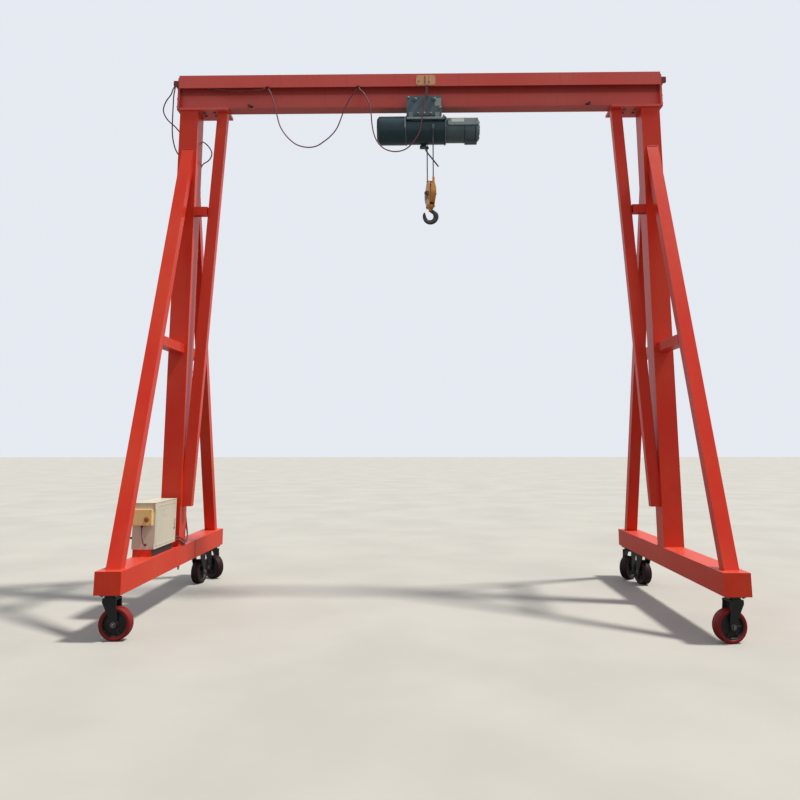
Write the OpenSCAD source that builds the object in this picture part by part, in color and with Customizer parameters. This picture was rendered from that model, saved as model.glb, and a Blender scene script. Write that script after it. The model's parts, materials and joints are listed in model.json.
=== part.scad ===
// Mobile gantry crane of red painted steel: a capped I-beam on two A-shaped legs, with six swivel
// casters, an electric wire-rope hoist on an under-running trolley, and a control cabinet.
// Millimetres, Z up, origin on the floor at the middle of the crane. X runs along the beam.
// Y runs from the side with the cabinet's switch box (front, minus) to the back (plus).

/* [Frame] */
// Distance between the centre lines of the two legs
span = 5300; // [4600:50:6600]
// Height of the underside of the main beam
beam_z = 5500; // [5200:20:6200]
// Length of each base beam
base_len = 3200; // [3000:50:3800]
// Width of the base beam
base_w = 230; // [220:5:280]
// Height of the base beam
base_h = 195; // [160:5:240]
// Side of the square column
column_side = 210; // [180:5:220]
// Width of the braces, across the crane's length
brace_w = 130; // [100:5:160]
// Thickness of the braces, along the base beam
brace_t = 100; // [70:5:120]
// How far the foot of a brace stands in from the end of the base beam
brace_inset = 100; // [60:5:160]
// Height where the front face of a brace meets the column
brace_top_z = 5000; // [4600:20:5150]
// Width of the long inner strut
strut_w = 118; // [90:2:150]
// Depth of the long inner strut
strut_depth = 76; // [60:2:90]
// Distance of the strut's front face from the crane's middle plane
strut_front = 66; // [50:2:90]
// Height of the strut's cut lower end
strut_low_z = 1000; // [900:25:1300]
// Reach of the strut's lower end past the column's face
strut_low_reach = 102; // [80:1:116]
// Reach of the head plate inwards from the leg's centre line
head_reach = 440; // [380:10:650]
// Gap between the head plate's inner end and the strut
strut_gap = 4; // [0:1:60]
// Thickness of the head plate
head_t = 28; // [12:1:34]
// Distance of the head plate's front edge from the crane's middle plane
head_front = 120; // [108:2:150]
// Distance of the head plate's back edge from the crane's middle plane
head_back = 170; // [110:5:200]
// Height of the short tie between column and strut, to its middle
upper_tie_z = 4265; // [3800:5:4600]
// Height of the ties between column and braces, to their middle
mid_tie_z = 2695; // [2200:5:3200]
// Height of the tie sections
tie_h = 97; // [70:1:130]
// Wall thickness of columns and base beams
wall = 8; // [6:1:12]
// Wall thickness of braces, struts and ties
thin_wall = 6; // [4:1:8]

/* [Main beam] */
// Depth of the I-beam
beam_depth = 392; // [340:2:420]
// Width of the I-beam's flanges
flange_w = 136; // [120:2:150]
// Thickness of the flanges
flange_t = 16; // [12:1:20]
// Thickness of the web
web_t = 10; // [8:1:14]
// Length of the I-beam
beam_len = 5570; // [4900:10:6900]
// Outer width of the channel cap
cap_w = 216; // [200:2:240]
// Height of the channel cap's lips
cap_h = 154; // [120:2:180]
// Plate thickness of the channel cap
cap_t = 8; // [6:1:12]
// Thickness of the I-beam's end plates
end_plate_t = 24; // [8:1:30]
// Distance of each travel stop from the inner end of the head plate
stop_inset = 250; // [160:10:400]

/* [Casters] */
// Diameter of the caster wheels
wheel_d = 280; // [260:5:310]
// Width of the tread
tread_w = 94; // [60:1:100]
// Diameter of the wheel's iron core
core_d = 214; // [190:2:240]
// Offset of the wheel's axle from the swivel axis
trail = 45; // [35:1:50]
// Height of the base beam's underside, which is the height of a caster
caster_h = 390; // [380:1:420]
// Distance of the front casters' swivel axes from the front end of the base beam
front_inset = 120; // [90:1:200]
// Distance of the back casters' swivel axes from the back end of the base beam
back_inset = 150; // [150:1:200]
// Distance between the two swivel axes at the back end, along the base beam
twin_pitch = 402; // [400:1:440]
// Sideways stagger of the two swivel axes at the back end
twin_stagger = 25; // [20:1:30]
// Thickness of the fork legs
fork_t = 10; // [8:1:12]
// Gap between tread and fork leg
fork_gap = 6; // [5:1:9]

/* [Trolley and hoist] */
// Position of the trolley's middle along the beam
trolley_x = 62; // [-300:2:300]
// Length of the trolley's side plates
trolley_len = 404; // [360:2:440]
// Distance between the inner faces of the side plates
trolley_gap = 236; // [230:2:250]
// Thickness of the side plates
trolley_t = 13; // [10:1:16]
// Height of the side plates
trolley_h = 240; // [220:2:280]
// Tread diameter of the trolley wheels
roller_d = 104; // [90:2:116]
// Distance from the beam's underside down to the hoist's axis
hoist_drop = 253; // [245:1:300]
// Radius of the drum housing
drum_r = 158; // [130:1:160]
// Radius of the motor at the left end
motor_r = 163; // [140:1:170]
// Radius of the gear end at the right
gear_r = 142; // [120:1:150]
// Length of the drum housing, over its two end plates
drum_len = 457; // [420:1:480]
// Length of the motor
motor_len = 326; // [280:2:360]
// Length of the gear end
gear_len = 386; // [340:2:400]
// Radius of the rope
rope_r = 6.5; // [5:0.5:8]

/* [Hook block] */
// Height of the sheave's axis above the floor
sheave_z = 4470; // [4000:10:4600]
// Radius of the rope's centre line on the sheave
sheave_r = 123; // [110:1:130]
// Thickness of the block's side plates
cheek_t = 10; // [8:1:16]
// Thickness of the sheave
sheave_t = 38; // [34:1:50]
// Turn of the sheave's plane away from the crane's front-to-back direction
block_turn = 15; // [0:1:30]
// Radius of the hook's bowl, to the middle of the bar
hook_r = 66; // [50:1:70]
// Radius of the hook's bar
hook_bar_r = 26; // [18:1:28]

/* [Cabinet and cables] */
// Length of the cabinet, along the base beam
cab_len = 600; // [500:10:620]
// Width of the cabinet, across the base beam
cab_w = 208; // [180:2:250]
// Height of the cabinet
cab_h = 435; // [380:5:500]
// Sheet thickness of the cabinet
cab_t = 3; // [2:0.5:5]
// Height of the riser under the cabinet
riser_h = 70; // [50:5:90]
// Front-to-back position of the cabinet's front side
cab_front_y = -800; // [-860:5:-780]
// Radius of the festoon cable
cable_r = 7; // [5:0.5:8]
// Front-to-back position of the hanging loops
loop_y = -206; // [-214:1:-202]
// Width of the cable hooks
hook_plate_w = 34; // [32:1:40]

/* [Hidden] */
eps = 0.3;
leg_x = span / 2;
base_z = caster_h;
base_top = base_z + base_h;
half_base = base_len / 2;
half_col = column_side / 2;
head_z = beam_z - head_t;
head_inner_x = leg_x - head_reach;
stop_x = head_inner_x - stop_inset;
beam_top = beam_z + beam_depth;
half_beam = beam_len / 2;
cap_top = beam_top + cap_t;
lip_z = cap_top - cap_h;
lip_y = -cap_w / 2;
brace_foot_y = -half_base + brace_inset;
brace_lean = (-half_col - brace_foot_y) / (brace_top_z - base_top);
strut_top_inner = head_inner_x + strut_gap;
strut_top_outer = strut_top_inner + strut_w;
strut_low_inner = leg_x - half_col - strut_low_reach;
strut_lean = (strut_low_inner - strut_top_inner) / (head_z - strut_low_z);
upper_tie_x = strut_top_outer + strut_lean * (head_z - upper_tie_z);
wheel_r = wheel_d / 2;
fork_in = tread_w / 2 + fork_gap;
plate_t = 12;
race_h = 24;
crown_t = 14;
crown_z = caster_h - plate_t - race_h - crown_t;
front_swivel_y = -half_base + front_inset;
back_swivel_y = half_base - back_inset;
// Directions in which the six wheels trail, in the order of the caster names below.
swivel_turns = [0, 190, 81, 324, 105, 223];
hoist_z = beam_z - hoist_drop;
plate_low = beam_z - 126;
plate_y = trolley_gap / 2;
drum_overhang = 9;
drum_x0 = trolley_x - trolley_len / 2 - drum_overhang;
drum_x1 = drum_x0 + drum_len;
motor_x0 = drum_x0 - motor_len;
gear_x1 = drum_x1 + gear_len;
end_t = 14;
bar_s = 28;
bar_drop = 34;
bar_z = plate_low - bar_drop - bar_s;
bar_y = plate_y + 30;
roller_z = beam_z + flange_t + roller_d / 2 + eps;
block_x = trolley_x + 68;
block_y = -59;
fall_dx = sheave_r * sin(block_turn);
fall_dy = sheave_r * cos(block_turn);
drum_fall = [block_x - fall_dx, block_y + fall_dy];
anchor_fall = [block_x + fall_dx, block_y - fall_dy];
cheek_in = sheave_t / 2 + 4;
cheek_low = sheave_z - 174;
cross_h = 34;
bowl_drop = 275;
cheek_reach = 100;
anchor_z = hoist_z - 10;
bowl_z = sheave_z - bowl_drop;
cab_x = -leg_x - 20;
cab_z = base_top + riser_h;
cab_back_y = cab_front_y + cab_len;
cab_face = cab_x + cab_w / 2;
riser_w = cab_w - 24;
box_w = 195;
box_depth = 40;
box_h = 152;
box_low = 228;
knob_low = 285;
door_t = 14;
barrel_r = 6;
hinge_pin_r = 3;
hinge_x = cab_face + 7;
hinge_y = cab_front_y - barrel_r - eps;
hinge_inset = 30;
barrel_h = 20;
leaf_len = 36;
handle_w = 18;
handle_h = 60;
drain_y = -260;
carrier_x = -691;
fixed_hook_x = -1731;
tow_x = trolley_x + 31;
hook_z = lip_z - 56;
hook_half = 20;
hook_grip = 5;
loop_1_y = loop_y + 9.5;
loop_2_y = loop_y - 9.5;
plate_gap = hook_grip + 7;
bracket_low = beam_top - 70;
beam_plate_x = -29;
beam_plate_len = 222;
rope_top = hoist_z - sqrt(pow(drum_r, 2) - pow(drum_fall[1] - rope_r, 2)) - eps;
tube_n = 10;

module both_ends() {
  children();
  mirror([1, 0, 0]) children();
}

module front_and_back() {
  children();
  mirror([0, 1, 0]) children();
}

// A bar of section w by h between two points of the XZ plane, cut level at both ends.
module leaning_bar(x_low, z_low, x_high, z_high, w, depth) {
  rotate([90, 0, 0]) translate([0, 0, -depth / 2]) linear_extrude(depth)
    polygon([[x_low, z_low], [x_low + w, z_low], [x_high + w, z_high], [x_high, z_high]]);
}

// Rings of points around a route, joined to one closed tube. Each ring's start side is carried on
// from the ring before, so the tube doesn't twist.
function unit(v) = v / norm(v);
function side_of(d) = unit(cross(d, abs(d[1]) > 0.9 ? [1, 0, 0] : [0, 1, 0]));
function across(u, d) = unit(u - (u * d) * d);
function tangent_at(route, i) =
  let(n = len(route), a = route[max(i - 1, 0)], b = route[min(i + 1, n - 1)]) unit(b - a);
function start_sides(route) = [for (i = 0, u = side_of(tangent_at(route, 0)); i < len(route);
  i = i + 1, u = across(u, tangent_at(route, min(i, len(route) - 1)))) u];
function ring_at(route, sides, i, r) =
  let(d = tangent_at(route, i), u = across(sides[i], d), v = cross(d, u))
  [for (k = [0:tube_n - 1]) route[i] + r * (cos(360 * k / tube_n) * u + sin(360 * k / tube_n) * v)];
function smooth_between(a, b, c, d, n) = [for (k = [0:n - 1]) let(t = k / n)
  0.5 * (2 * b + (c - a) * t + (2 * a - 5 * b + 4 * c - d) * t * t
  + (3 * b - a - 3 * c + d) * t * t * t)];
function smooth_route(pts, n) =
  let(m = len(pts))
  concat([for (i = [0:m - 2])
    for (q = smooth_between(pts[max(i - 1, 0)], pts[i], pts[i + 1], pts[min(i + 2, m - 1)], n)) q],
    [pts[m - 1]]);

module tube_along(route, r) {
  n = len(route);
  sides = start_sides(route);
  skin = [for (i = [0:n - 1]) each ring_at(route, sides, i, r)];
  walls = [for (i = [0:n - 2]) for (k = [0:tube_n - 1])
    let(a = i * tube_n + k, b = i * tube_n + (k + 1) % tube_n)
    each [[a, b, b + tube_n], [a, b + tube_n, a + tube_n]]];
  low_end = [[for (k = [0:tube_n - 1]) tube_n - 1 - k]];
  high_end = [[for (k = [0:tube_n - 1]) (n - 1) * tube_n + k]];
  polyhedron(points = skin, faces = [for (f = concat(walls, low_end, high_end))
    [for (j = [len(f) - 1:-1:0]) f[j]]]);
}

module main_beam() {
  color([0.72, 0.16, 0.10]) {
    rotate([90, 0, 90]) translate([0, 0, -half_beam]) linear_extrude(beam_len)
      translate([0, beam_z]) polygon([
        [-flange_w / 2, 0], [flange_w / 2, 0], [flange_w / 2, flange_t], [web_t / 2, flange_t],
        [web_t / 2, beam_depth - flange_t], [flange_w / 2, beam_depth - flange_t],
        [flange_w / 2, beam_depth], [-flange_w / 2, beam_depth],
        [-flange_w / 2, beam_depth - flange_t], [-web_t / 2, beam_depth - flange_t],
        [-web_t / 2, flange_t], [-flange_w / 2, flange_t]]);
    both_ends() translate([half_beam, -flange_w / 2, beam_z])
      cube([end_plate_t, flange_w, beam_depth]);
  }
}

module beam_cap() {
  color([0.78, 0.22, 0.15])
    rotate([90, 0, 90]) translate([0, 0, -half_beam]) linear_extrude(beam_len)
      polygon([
        [-cap_w / 2, lip_z], [-cap_w / 2 + cap_t, lip_z], [-cap_w / 2 + cap_t, beam_top],
        [cap_w / 2 - cap_t, beam_top], [cap_w / 2 - cap_t, lip_z], [cap_w / 2, lip_z],
        [cap_w / 2, cap_top], [-cap_w / 2, cap_top]]);
}

// A folded strip with a small block at each end of the beam for the cable, four stops that the
// trolley runs against, and the cable's fixed hook on the cap's lip.
module beam_fittings() {
  x0 = half_beam + end_plate_t;
  color([0.45, 0.12, 0.09]) {
    both_ends() {
      rotate([90, 0, 0]) translate([0, 0, -20]) linear_extrude(40)
        polygon([[x0, beam_top - 150], [x0 + 46, bracket_low], [x0 + 70, bracket_low],
          [x0 + 70, beam_top - 8], [x0, beam_top - 8]]);
      front_and_back() translate([stop_x, -flange_w / 2, beam_z + flange_t])
        cube([24, flange_w / 2 - web_t / 2, 46]);
    }
    lip_hook(fixed_hook_x, 0);
  }
}

module beam_plate() {
  color([0.85, 0.65, 0.35]) translate([beam_plate_x, lip_y - 2, lip_z + plate_gap])
    cube([beam_plate_len, 2, cap_h - plate_gap - cap_t - 12]);
}

module head_plates() {
  color([0.55, 0.12, 0.09]) both_ends()
    translate([head_inner_x, -head_front, head_z])
      cube([leg_x + half_col + 5 - head_inner_x, head_front + head_back, head_t]);
}

module columns() {
  color([0.80, 0.25, 0.14]) both_ends() difference() {
    translate([leg_x - half_col, -half_col, base_top]) cube([column_side, column_side, head_z - base_top]);
    translate([leg_x - half_col + wall, -half_col + wall, base_top - 1])
      cube([column_side - 2 * wall, column_side - 2 * wall, head_z - base_top + 2]);
  }
}

// Box sections with closed ends and a drain hole in the underside.
module base_beams() {
  color([0.85, 0.32, 0.20]) both_ends() difference() {
    translate([leg_x - base_w / 2, -half_base, base_z]) cube([base_w, base_len, base_h]);
    translate([leg_x - base_w / 2 + wall, -half_base + wall, base_z + wall])
      cube([base_w - 2 * wall, base_len - 2 * wall, base_h - 2 * wall]);
    translate([leg_x, drain_y, base_z - 1]) cylinder(r = 12, h = wall + 2, $fn = 32);
  }
}

module brace_outline(inset, reach) {
  polygon([[brace_foot_y + inset - brace_lean * reach, base_top - reach],
    [brace_foot_y + brace_t - inset - brace_lean * reach, base_top - reach],
    [-half_col + reach, brace_top_z - (brace_t - inset - reach) / brace_lean],
    [-half_col + reach, brace_top_z - (inset - reach) / brace_lean]]);
}

module braces() {
  color([0.82, 0.28, 0.16]) both_ends() front_and_back() difference() {
    translate([leg_x - brace_w / 2, 0, 0]) rotate([90, 0, 90]) linear_extrude(brace_w)
      brace_outline(0, 0);
    translate([leg_x - brace_w / 2 + thin_wall, 0, 0]) rotate([90, 0, 90])
      linear_extrude(brace_w - 2 * thin_wall) brace_outline(thin_wall, 2);
  }
}

module inner_struts() {
  reach = 2;
  color([0.78, 0.22, 0.14]) both_ends() translate([0, strut_depth / 2 - strut_front, 0]) difference() {
    leaning_bar(strut_low_inner, strut_low_z, strut_top_inner, head_z, strut_w, strut_depth);
    leaning_bar(strut_low_inner + thin_wall + strut_lean * reach, strut_low_z - reach,
      strut_top_inner + thin_wall - strut_lean * reach, head_z + reach,
      strut_w - 2 * thin_wall, strut_depth - 2 * thin_wall);
    translate([leg_x - half_col, -strut_depth, 0]) cube([column_side, strut_depth * 2, head_z]);
  }
}

module box_bar(size, hollow_along) {
  difference() {
    cube(size);
    translate([for (i = [0:2]) i == hollow_along ? -1 : thin_wall])
      cube([for (i = [0:2]) size[i] + (i == hollow_along ? 2 : -2 * thin_wall)]);
  }
}

module ties() {
  tie_y1 = brace_foot_y + brace_t + brace_lean * (mid_tie_z - base_top);
  color([0.80, 0.24, 0.15]) both_ends() {
    difference() {
      translate([upper_tie_x - 60, -half_col, upper_tie_z - tie_h / 2])
        box_bar([leg_x - half_col - upper_tie_x + 60, strut_depth, tie_h], 0);
      leaning_bar(strut_low_inner - 100, strut_low_z, strut_top_inner - 100, head_z,
        strut_w + 100, column_side * 2);
    }
    front_and_back() difference() {
      translate([leg_x - brace_w / 2, tie_y1 - 60, mid_tie_z - tie_h / 2])
        box_bar([brace_w, -half_col - tie_y1 + 60, tie_h], 1);
      translate([leg_x - brace_w, 0, 0]) rotate([90, 0, 90]) linear_extrude(brace_w * 2)
        polygon([[brace_foot_y - 2 * brace_t, base_top], [brace_foot_y + brace_t, base_top],
          [-half_col, brace_top_z - brace_t / brace_lean], [-half_col - 2 * brace_t, brace_top_z]]);
    }
  }
}

// The six swivel axes, with the direction in which each wheel trails.
module each_caster() {
  for (c = [[-leg_x, front_swivel_y], [leg_x, front_swivel_y],
    [-leg_x - twin_stagger, back_swivel_y - twin_pitch], [-leg_x + twin_stagger, back_swivel_y],
    [leg_x + twin_stagger, back_swivel_y - twin_pitch], [leg_x - twin_stagger, back_swivel_y]])
    translate([c[0], c[1], 0]) children();
}

module caster_plates() {
  color([0.12, 0.12, 0.12]) each_caster() {
    translate([-80, -80, caster_h - plate_t]) cube([160, 160, plate_t]);
    translate([0, 0, caster_h - plate_t - 14]) cylinder(r = 50, h = 14, $fn = 48);
  }
}

module at_caster(x, y, turn) {
  translate([x, y, 0]) rotate([0, 0, turn]) children();
}

// One caster fork: race, crown and two legs that narrow to the axle.
module fork() {
  leg = [[-60, crown_z + crown_t], [60, crown_z + crown_t], [60, crown_z - 20],
    [trail + 32, wheel_r + 40], [trail + 31, wheel_r], [trail - 31, wheel_r], [trail - 34, wheel_r + 40],
    [-60, crown_z - 20]];
  color([0.10, 0.11, 0.12]) {
    difference() {
      translate([0, 0, crown_z + crown_t]) cylinder(r = 62, h = race_h - eps, $fn = 48);
      translate([0, 0, caster_h - plate_t - 14 - eps]) cylinder(r = 50 + eps, h = 40, $fn = 48);
    }
    translate([-60, -fork_in - fork_t, crown_z]) cube([120, 2 * (fork_in + fork_t), crown_t]);
    for (s = [-1, 1]) translate([0, s * (fork_in + fork_t / 2), 0]) {
      rotate([90, 0, 0]) translate([0, 0, -fork_t / 2]) linear_extrude(fork_t) polygon(leg);
      translate([trail, fork_t / 2, wheel_r]) rotate([90, 0, 0]) cylinder(r = 31, h = fork_t, $fn = 40);
      translate([trail, s * fork_t / 2 + 6, wheel_r]) rotate([90, 0, 0]) cylinder(r = 17, h = 12, $fn = 6);
    }
    translate([trail, fork_in + 1, wheel_r]) rotate([90, 0, 0])
      cylinder(r = 12, h = 2 * fork_in + 2, $fn = 32);
  }
}

module core() {
  r = core_d / 2;
  color([0.08, 0.08, 0.09]) translate([trail, 0, wheel_r]) rotate([90, 0, 0])
    rotate_extrude($fn = 64) polygon([[12 + eps, -tread_w / 2 - 3], [32, -tread_w / 2 - 3],
      [36, -tread_w / 2 + 12], [r - 16, -tread_w / 2 + 20], [r - 8, -tread_w / 2 + 4], [r, -tread_w / 2 + 4],
      [r, tread_w / 2 - 4], [r - 8, tread_w / 2 - 4], [r - 16, tread_w / 2 - 20], [36, tread_w / 2 - 12],
      [32, tread_w / 2 + 3], [12 + eps, tread_w / 2 + 3]]);
}

module tyre() {
  r = core_d / 2;
  h = tread_w / 2;
  color([0.62, 0.16, 0.15]) translate([trail, 0, wheel_r]) rotate([90, 0, 0])
    rotate_extrude($fn = 72) polygon([[r, -h + 4], [r + 6, -h], [wheel_r - 13, -h], [wheel_r - 4, -h + 5],
      [wheel_r, -h + 15], [wheel_r, h - 15], [wheel_r - 4, h - 5], [wheel_r - 13, h], [r + 6, h],
      [r, h - 4]]);
}

module at_fl() at_caster(-leg_x, front_swivel_y, swivel_turns[0]) children();
module at_fr() at_caster(leg_x, front_swivel_y, swivel_turns[1]) children();
module at_bl_in() at_caster(-leg_x - twin_stagger, back_swivel_y - twin_pitch, swivel_turns[2]) children();
module at_bl_out() at_caster(-leg_x + twin_stagger, back_swivel_y, swivel_turns[3]) children();
module at_br_in() at_caster(leg_x + twin_stagger, back_swivel_y - twin_pitch, swivel_turns[4]) children();
module at_br_out() at_caster(leg_x - twin_stagger, back_swivel_y, swivel_turns[5]) children();

// Cabinet: a sheet case open on the inner side, where the door closes it. The door turns on two
// hinges at the front: each has a leaf and a pin on the case, and a leaf and a barrel on the door.
module at_each_hinge() {
  for (z = [cab_z + hinge_inset, cab_z + cab_h - hinge_inset]) translate([hinge_x, hinge_y, z]) children();
}

module cabinet_shell() {
  color([0.86, 0.82, 0.72]) {
    translate([cab_x - cab_w / 2, cab_front_y, cab_z]) difference() {
      cube([cab_w - cab_t, cab_len, cab_h]);
      translate([cab_t, cab_t, cab_t]) cube([cab_w, cab_len - 2 * cab_t, cab_h - 2 * cab_t]);
    }
    at_each_hinge() {
      translate([-leaf_len - 6, barrel_r + eps - 2, -barrel_h]) cube([leaf_len + 6, 2, barrel_h]);
      translate([0, 0, -barrel_h]) cylinder(r = barrel_r, h = barrel_h, $fn = 32);
      translate([0, 0, -1]) cylinder(r = hinge_pin_r, h = barrel_h + 1, $fn = 32);
    }
  }
}

module cabinet_door() {
  color([0.90, 0.86, 0.76]) {
    translate([cab_face - cab_t + eps, cab_front_y + 1, cab_z + 1]) cube([door_t, cab_len - 2, cab_h - 2]);
    translate([cab_face + door_t - cab_t, cab_back_y - handle_h, cab_z + (cab_h - handle_h) / 2])
      cube([door_t, handle_w, handle_h]);
    at_each_hinge() difference() {
      union() {
        translate([0, 0, eps]) cylinder(r = barrel_r, h = barrel_h, $fn = 32);
        translate([cab_face - cab_t + eps + door_t - hinge_x - 0.5, 0, eps])
          cube([2, leaf_len, barrel_h]);
      }
      translate([0, 0, -1]) cylinder(r = hinge_pin_r + eps, h = barrel_h + 4, $fn = 32);
    }
  }
}

module cabinet_riser() {
  color([0.80, 0.26, 0.16])
    translate([cab_x - riser_w / 2, cab_front_y, base_top]) cube([riser_w, cab_len - 20, riser_h]);
}

module switch_box() {
  color([0.80, 0.62, 0.32]) {
    translate([cab_x - 100, cab_front_y - box_depth, cab_z + box_low]) cube([box_w, box_depth, box_h]);
    translate([cab_x + 45, cab_front_y - box_depth, cab_z + knob_low]) rotate([90, 0, 0])
      cylinder(r = 16, h = 18, $fn = 32);
  }
}

cable_a = [[-2590, -200, 670], [-2590, -172, 670], [-2562, -138, 652], [-2534, -108, 622],
  [-2530, -60, 600], [-2530, 60, 600], [-2532, 108, 608], [-2548, 117, 640], [-2556, 113, 700],
  [-2556, 113, 2700], [-2556, 113, 4800], [-2553, 114, 4860], [-2535, 117, 4905], [-2475, 121, 4949],
  [-2446, 122, 4992], [-2436, 122, 5043], [-2452, 122, 5088], [-2488, 122, 5139], [-2535, 122, 5178],
  [-2600, 121, 5204], [-2660, 120, 5222], [-2750, 121, 5243], [-2786, 98, 5262], [-2850, 20, 5330],
  [-2930, -30, 5400], [-2975, -45, 5500], [-2950, -45, 5610], [-2890, -42, 5710], [-2868, -48, 5770],
  [-2838, -72, 5796], [-2780, -87, 5786], [-2700, -92, 5770], [-2600, -92, 5762], [-2385, -92, 5742],
  [-2240, -92, 5716], [-2104, -92, 5706], [-1920, -94, 5714], [-1850, -118, 5702],
  [-1800, -158, 5690], [-1768, -190, 5683], [fixed_hook_x - 12, loop_1_y, hook_z - cable_r - eps]];
cable_b = [[-2582, -200, 700], [-2582, -172, 700], [-2556, -140, 684], [-2528, -106, 650],
  [-2526, -60, 620], [-2526, 60, 620], [-2524, 118, 630], [-2545, 131, 650], [-2566, 128, 690],
  [-2572, 113, 760], [-2572, 113, 2700], [-2572, 113, 4790], [-2570, 125, 4850], [-2572, 140, 4900],
  [-2592, 148, 4935], [-2650, 146, 4950], [-2712, 142, 4960], [-2752, 130, 4968],
  [-2780, 105, 4978], [-2808, 60, 5003], [-2830, 10, 5050], [-2850, -30, 5150], [-2860, -40, 5260],
  [-2864, -40, 5400], [-2864, -40, 5600], [-2866, -32, 5690], [-2867, -8, 5770], [-2867, 0, 5796],
  [-2867, 0, bracket_low - eps]];

module supply_cable() {
  color([0.30, 0.22, 0.26]) {
    tube_along(cable_a, cable_r);
    tube_along(cable_b, cable_r);
  }
}

module trolley_frame() {
  color([0.27, 0.36, 0.36]) {
    front_and_back() {
      translate([trolley_x - trolley_len / 2, plate_y, plate_low]) cube([trolley_len, trolley_t, trolley_h]);
      translate([drum_x0 + end_t, bar_y, bar_z]) cube([drum_len - 2 * end_t, bar_s, bar_s]);
      for (x = [-150, 150]) {
        translate([trolley_x + x - 25, 0, 0]) rotate([90, 0, 90]) linear_extrude(50)
          polygon([[plate_y + trolley_t - 1, plate_low + 36], [plate_y + trolley_t + 14, plate_low + 36],
            [bar_y + bar_s, bar_z + bar_s - 1], [bar_y, bar_z + bar_s - 1],
            [plate_y + trolley_t - 1, plate_low]]);
        translate([trolley_x + x * 0.74, plate_y + 1, roller_z]) rotate([90, 0, 0]) {
          cylinder(r = 14, h = 32, $fn = 32);
          translate([0, 0, 31]) cylinder(r = roller_d / 2 + 9, h = 12, $fn = 48);
          translate([0, 0, 43]) cylinder(r = roller_d / 2, h = 44, $fn = 48);
        }
      }
    }
    translate([tow_x - 12, 0, 0]) rotate([90, 0, 90]) linear_extrude(24)
      polygon([[-plate_y - trolley_t, plate_low + trolley_h - 40],
        [-plate_y - trolley_t, plate_low + trolley_h],
        [loop_y + hook_half, hook_z + 8], [loop_y - hook_half, hook_z + 8], [loop_y - hook_half, hook_z],
        [loop_y + hook_half + 2, hook_z], [-plate_y - trolley_t - 14, plate_low + trolley_h - 30]]);
  }
}

module end_shield(x) {
  translate([x, 0, 0]) {
      translate([0, 0, hoist_z]) rotate([0, 90, 0]) cylinder(r = drum_r + 8, h = end_t, $fn = 72);
      translate([0, -bar_y - bar_s, hoist_z + 60])
        cube([end_t, 2 * (bar_y + bar_s), bar_z + bar_s - hoist_z - 60]);
  }
}

module drum_housing() {
  color([0.12, 0.19, 0.21]) {
    translate([drum_x0, 0, hoist_z]) rotate([0, 90, 0]) cylinder(r = drum_r, h = drum_len, $fn = 72);
    end_shield(drum_x0);
    end_shield(drum_x1 - end_t);
    translate([drum_fall[0] - 68, 24, hoist_z - drum_r - 30]) cube([58, 60, 70]);
    translate([anchor_fall[0] - 15, anchor_fall[1] - rope_r, anchor_z]) cube([30, 60, 26]);
  }
}

module hoist_motor() {
  color([0.13, 0.22, 0.25]) translate([motor_x0, 0, hoist_z]) rotate([0, 90, 0])
    rotate_extrude($fn = 72)
      polygon([[0, 0], [motor_r - 22, 0], [motor_r, 20], [motor_r, motor_len], [0, motor_len]]);
}

module gear_profile(grow) {
  translate([drum_x1, 0, hoist_z]) rotate([0, 90, 0])
    rotate_extrude($fn = 72) polygon([[0, 0], [gear_r + grow, 0], [gear_r + grow, gear_len - 28],
      [gear_r - 28, gear_len + grow], [0, gear_len + grow]]);
}

module control_box() {
  color([0.30, 0.36, 0.37]) {
    gear_profile(0);
    translate([drum_x1 + 24, -152, hoist_z - 4]) cube([gear_len - 40, 130, 90]);
  }
}

// The fall that leaves the drum, and the fall whose end is held by the lug in front of the drum.
module rope_fall() {
  color([0.35, 0.36, 0.38]) translate([drum_fall[0], drum_fall[1], sheave_z])
    cylinder(r = rope_r, h = rope_top - sheave_z, $fn = 24);
}

module rope_anchored() {
  color([0.35, 0.36, 0.38]) translate([anchor_fall[0], anchor_fall[1], sheave_z])
    cylinder(r = rope_r, h = anchor_z - sheave_z, $fn = 24);
}

module in_block() translate([block_x, block_y, 0]) rotate([0, 0, block_turn]) children();

module hook_block() {
  cheek = [[0, sheave_z + 154], [-46, sheave_z + 128], [-cheek_reach, sheave_z + 40],
    [-cheek_reach, sheave_z - 50], [-52, cheek_low], [52, cheek_low], [cheek_reach, sheave_z - 50],
    [cheek_reach, sheave_z + 40], [46, sheave_z + 128]];
  color([0.75, 0.45, 0.12]) in_block() {
    for (s = [-1, 1]) translate([s * (cheek_in + cheek_t / 2), 0, 0])
      rotate([90, 0, 90]) translate([0, 0, -cheek_t / 2]) linear_extrude(cheek_t) polygon(cheek);
    translate([0, 0, sheave_z]) rotate([0, 90, 0]) {
      translate([0, 0, -cheek_in - 24]) cylinder(r = 26, h = 2 * cheek_in + 48, $fn = 40);
      rotate_extrude($fn = 72) polygon([[0, -sheave_t / 2], [sheave_r + 8, -sheave_t / 2],
        [sheave_r - rope_r - eps, -7], [sheave_r - rope_r - eps, 7],
        [sheave_r + 8, sheave_t / 2], [0, sheave_t / 2]]);
    }
    difference() {
      translate([-cheek_in, -46, cheek_low]) cube([2 * cheek_in, 92, cross_h]);
      translate([0, 0, cheek_low - 1]) cylinder(r = 18 + eps, h = cross_h - 4, $fn = 40);
    }
  }
}

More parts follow.
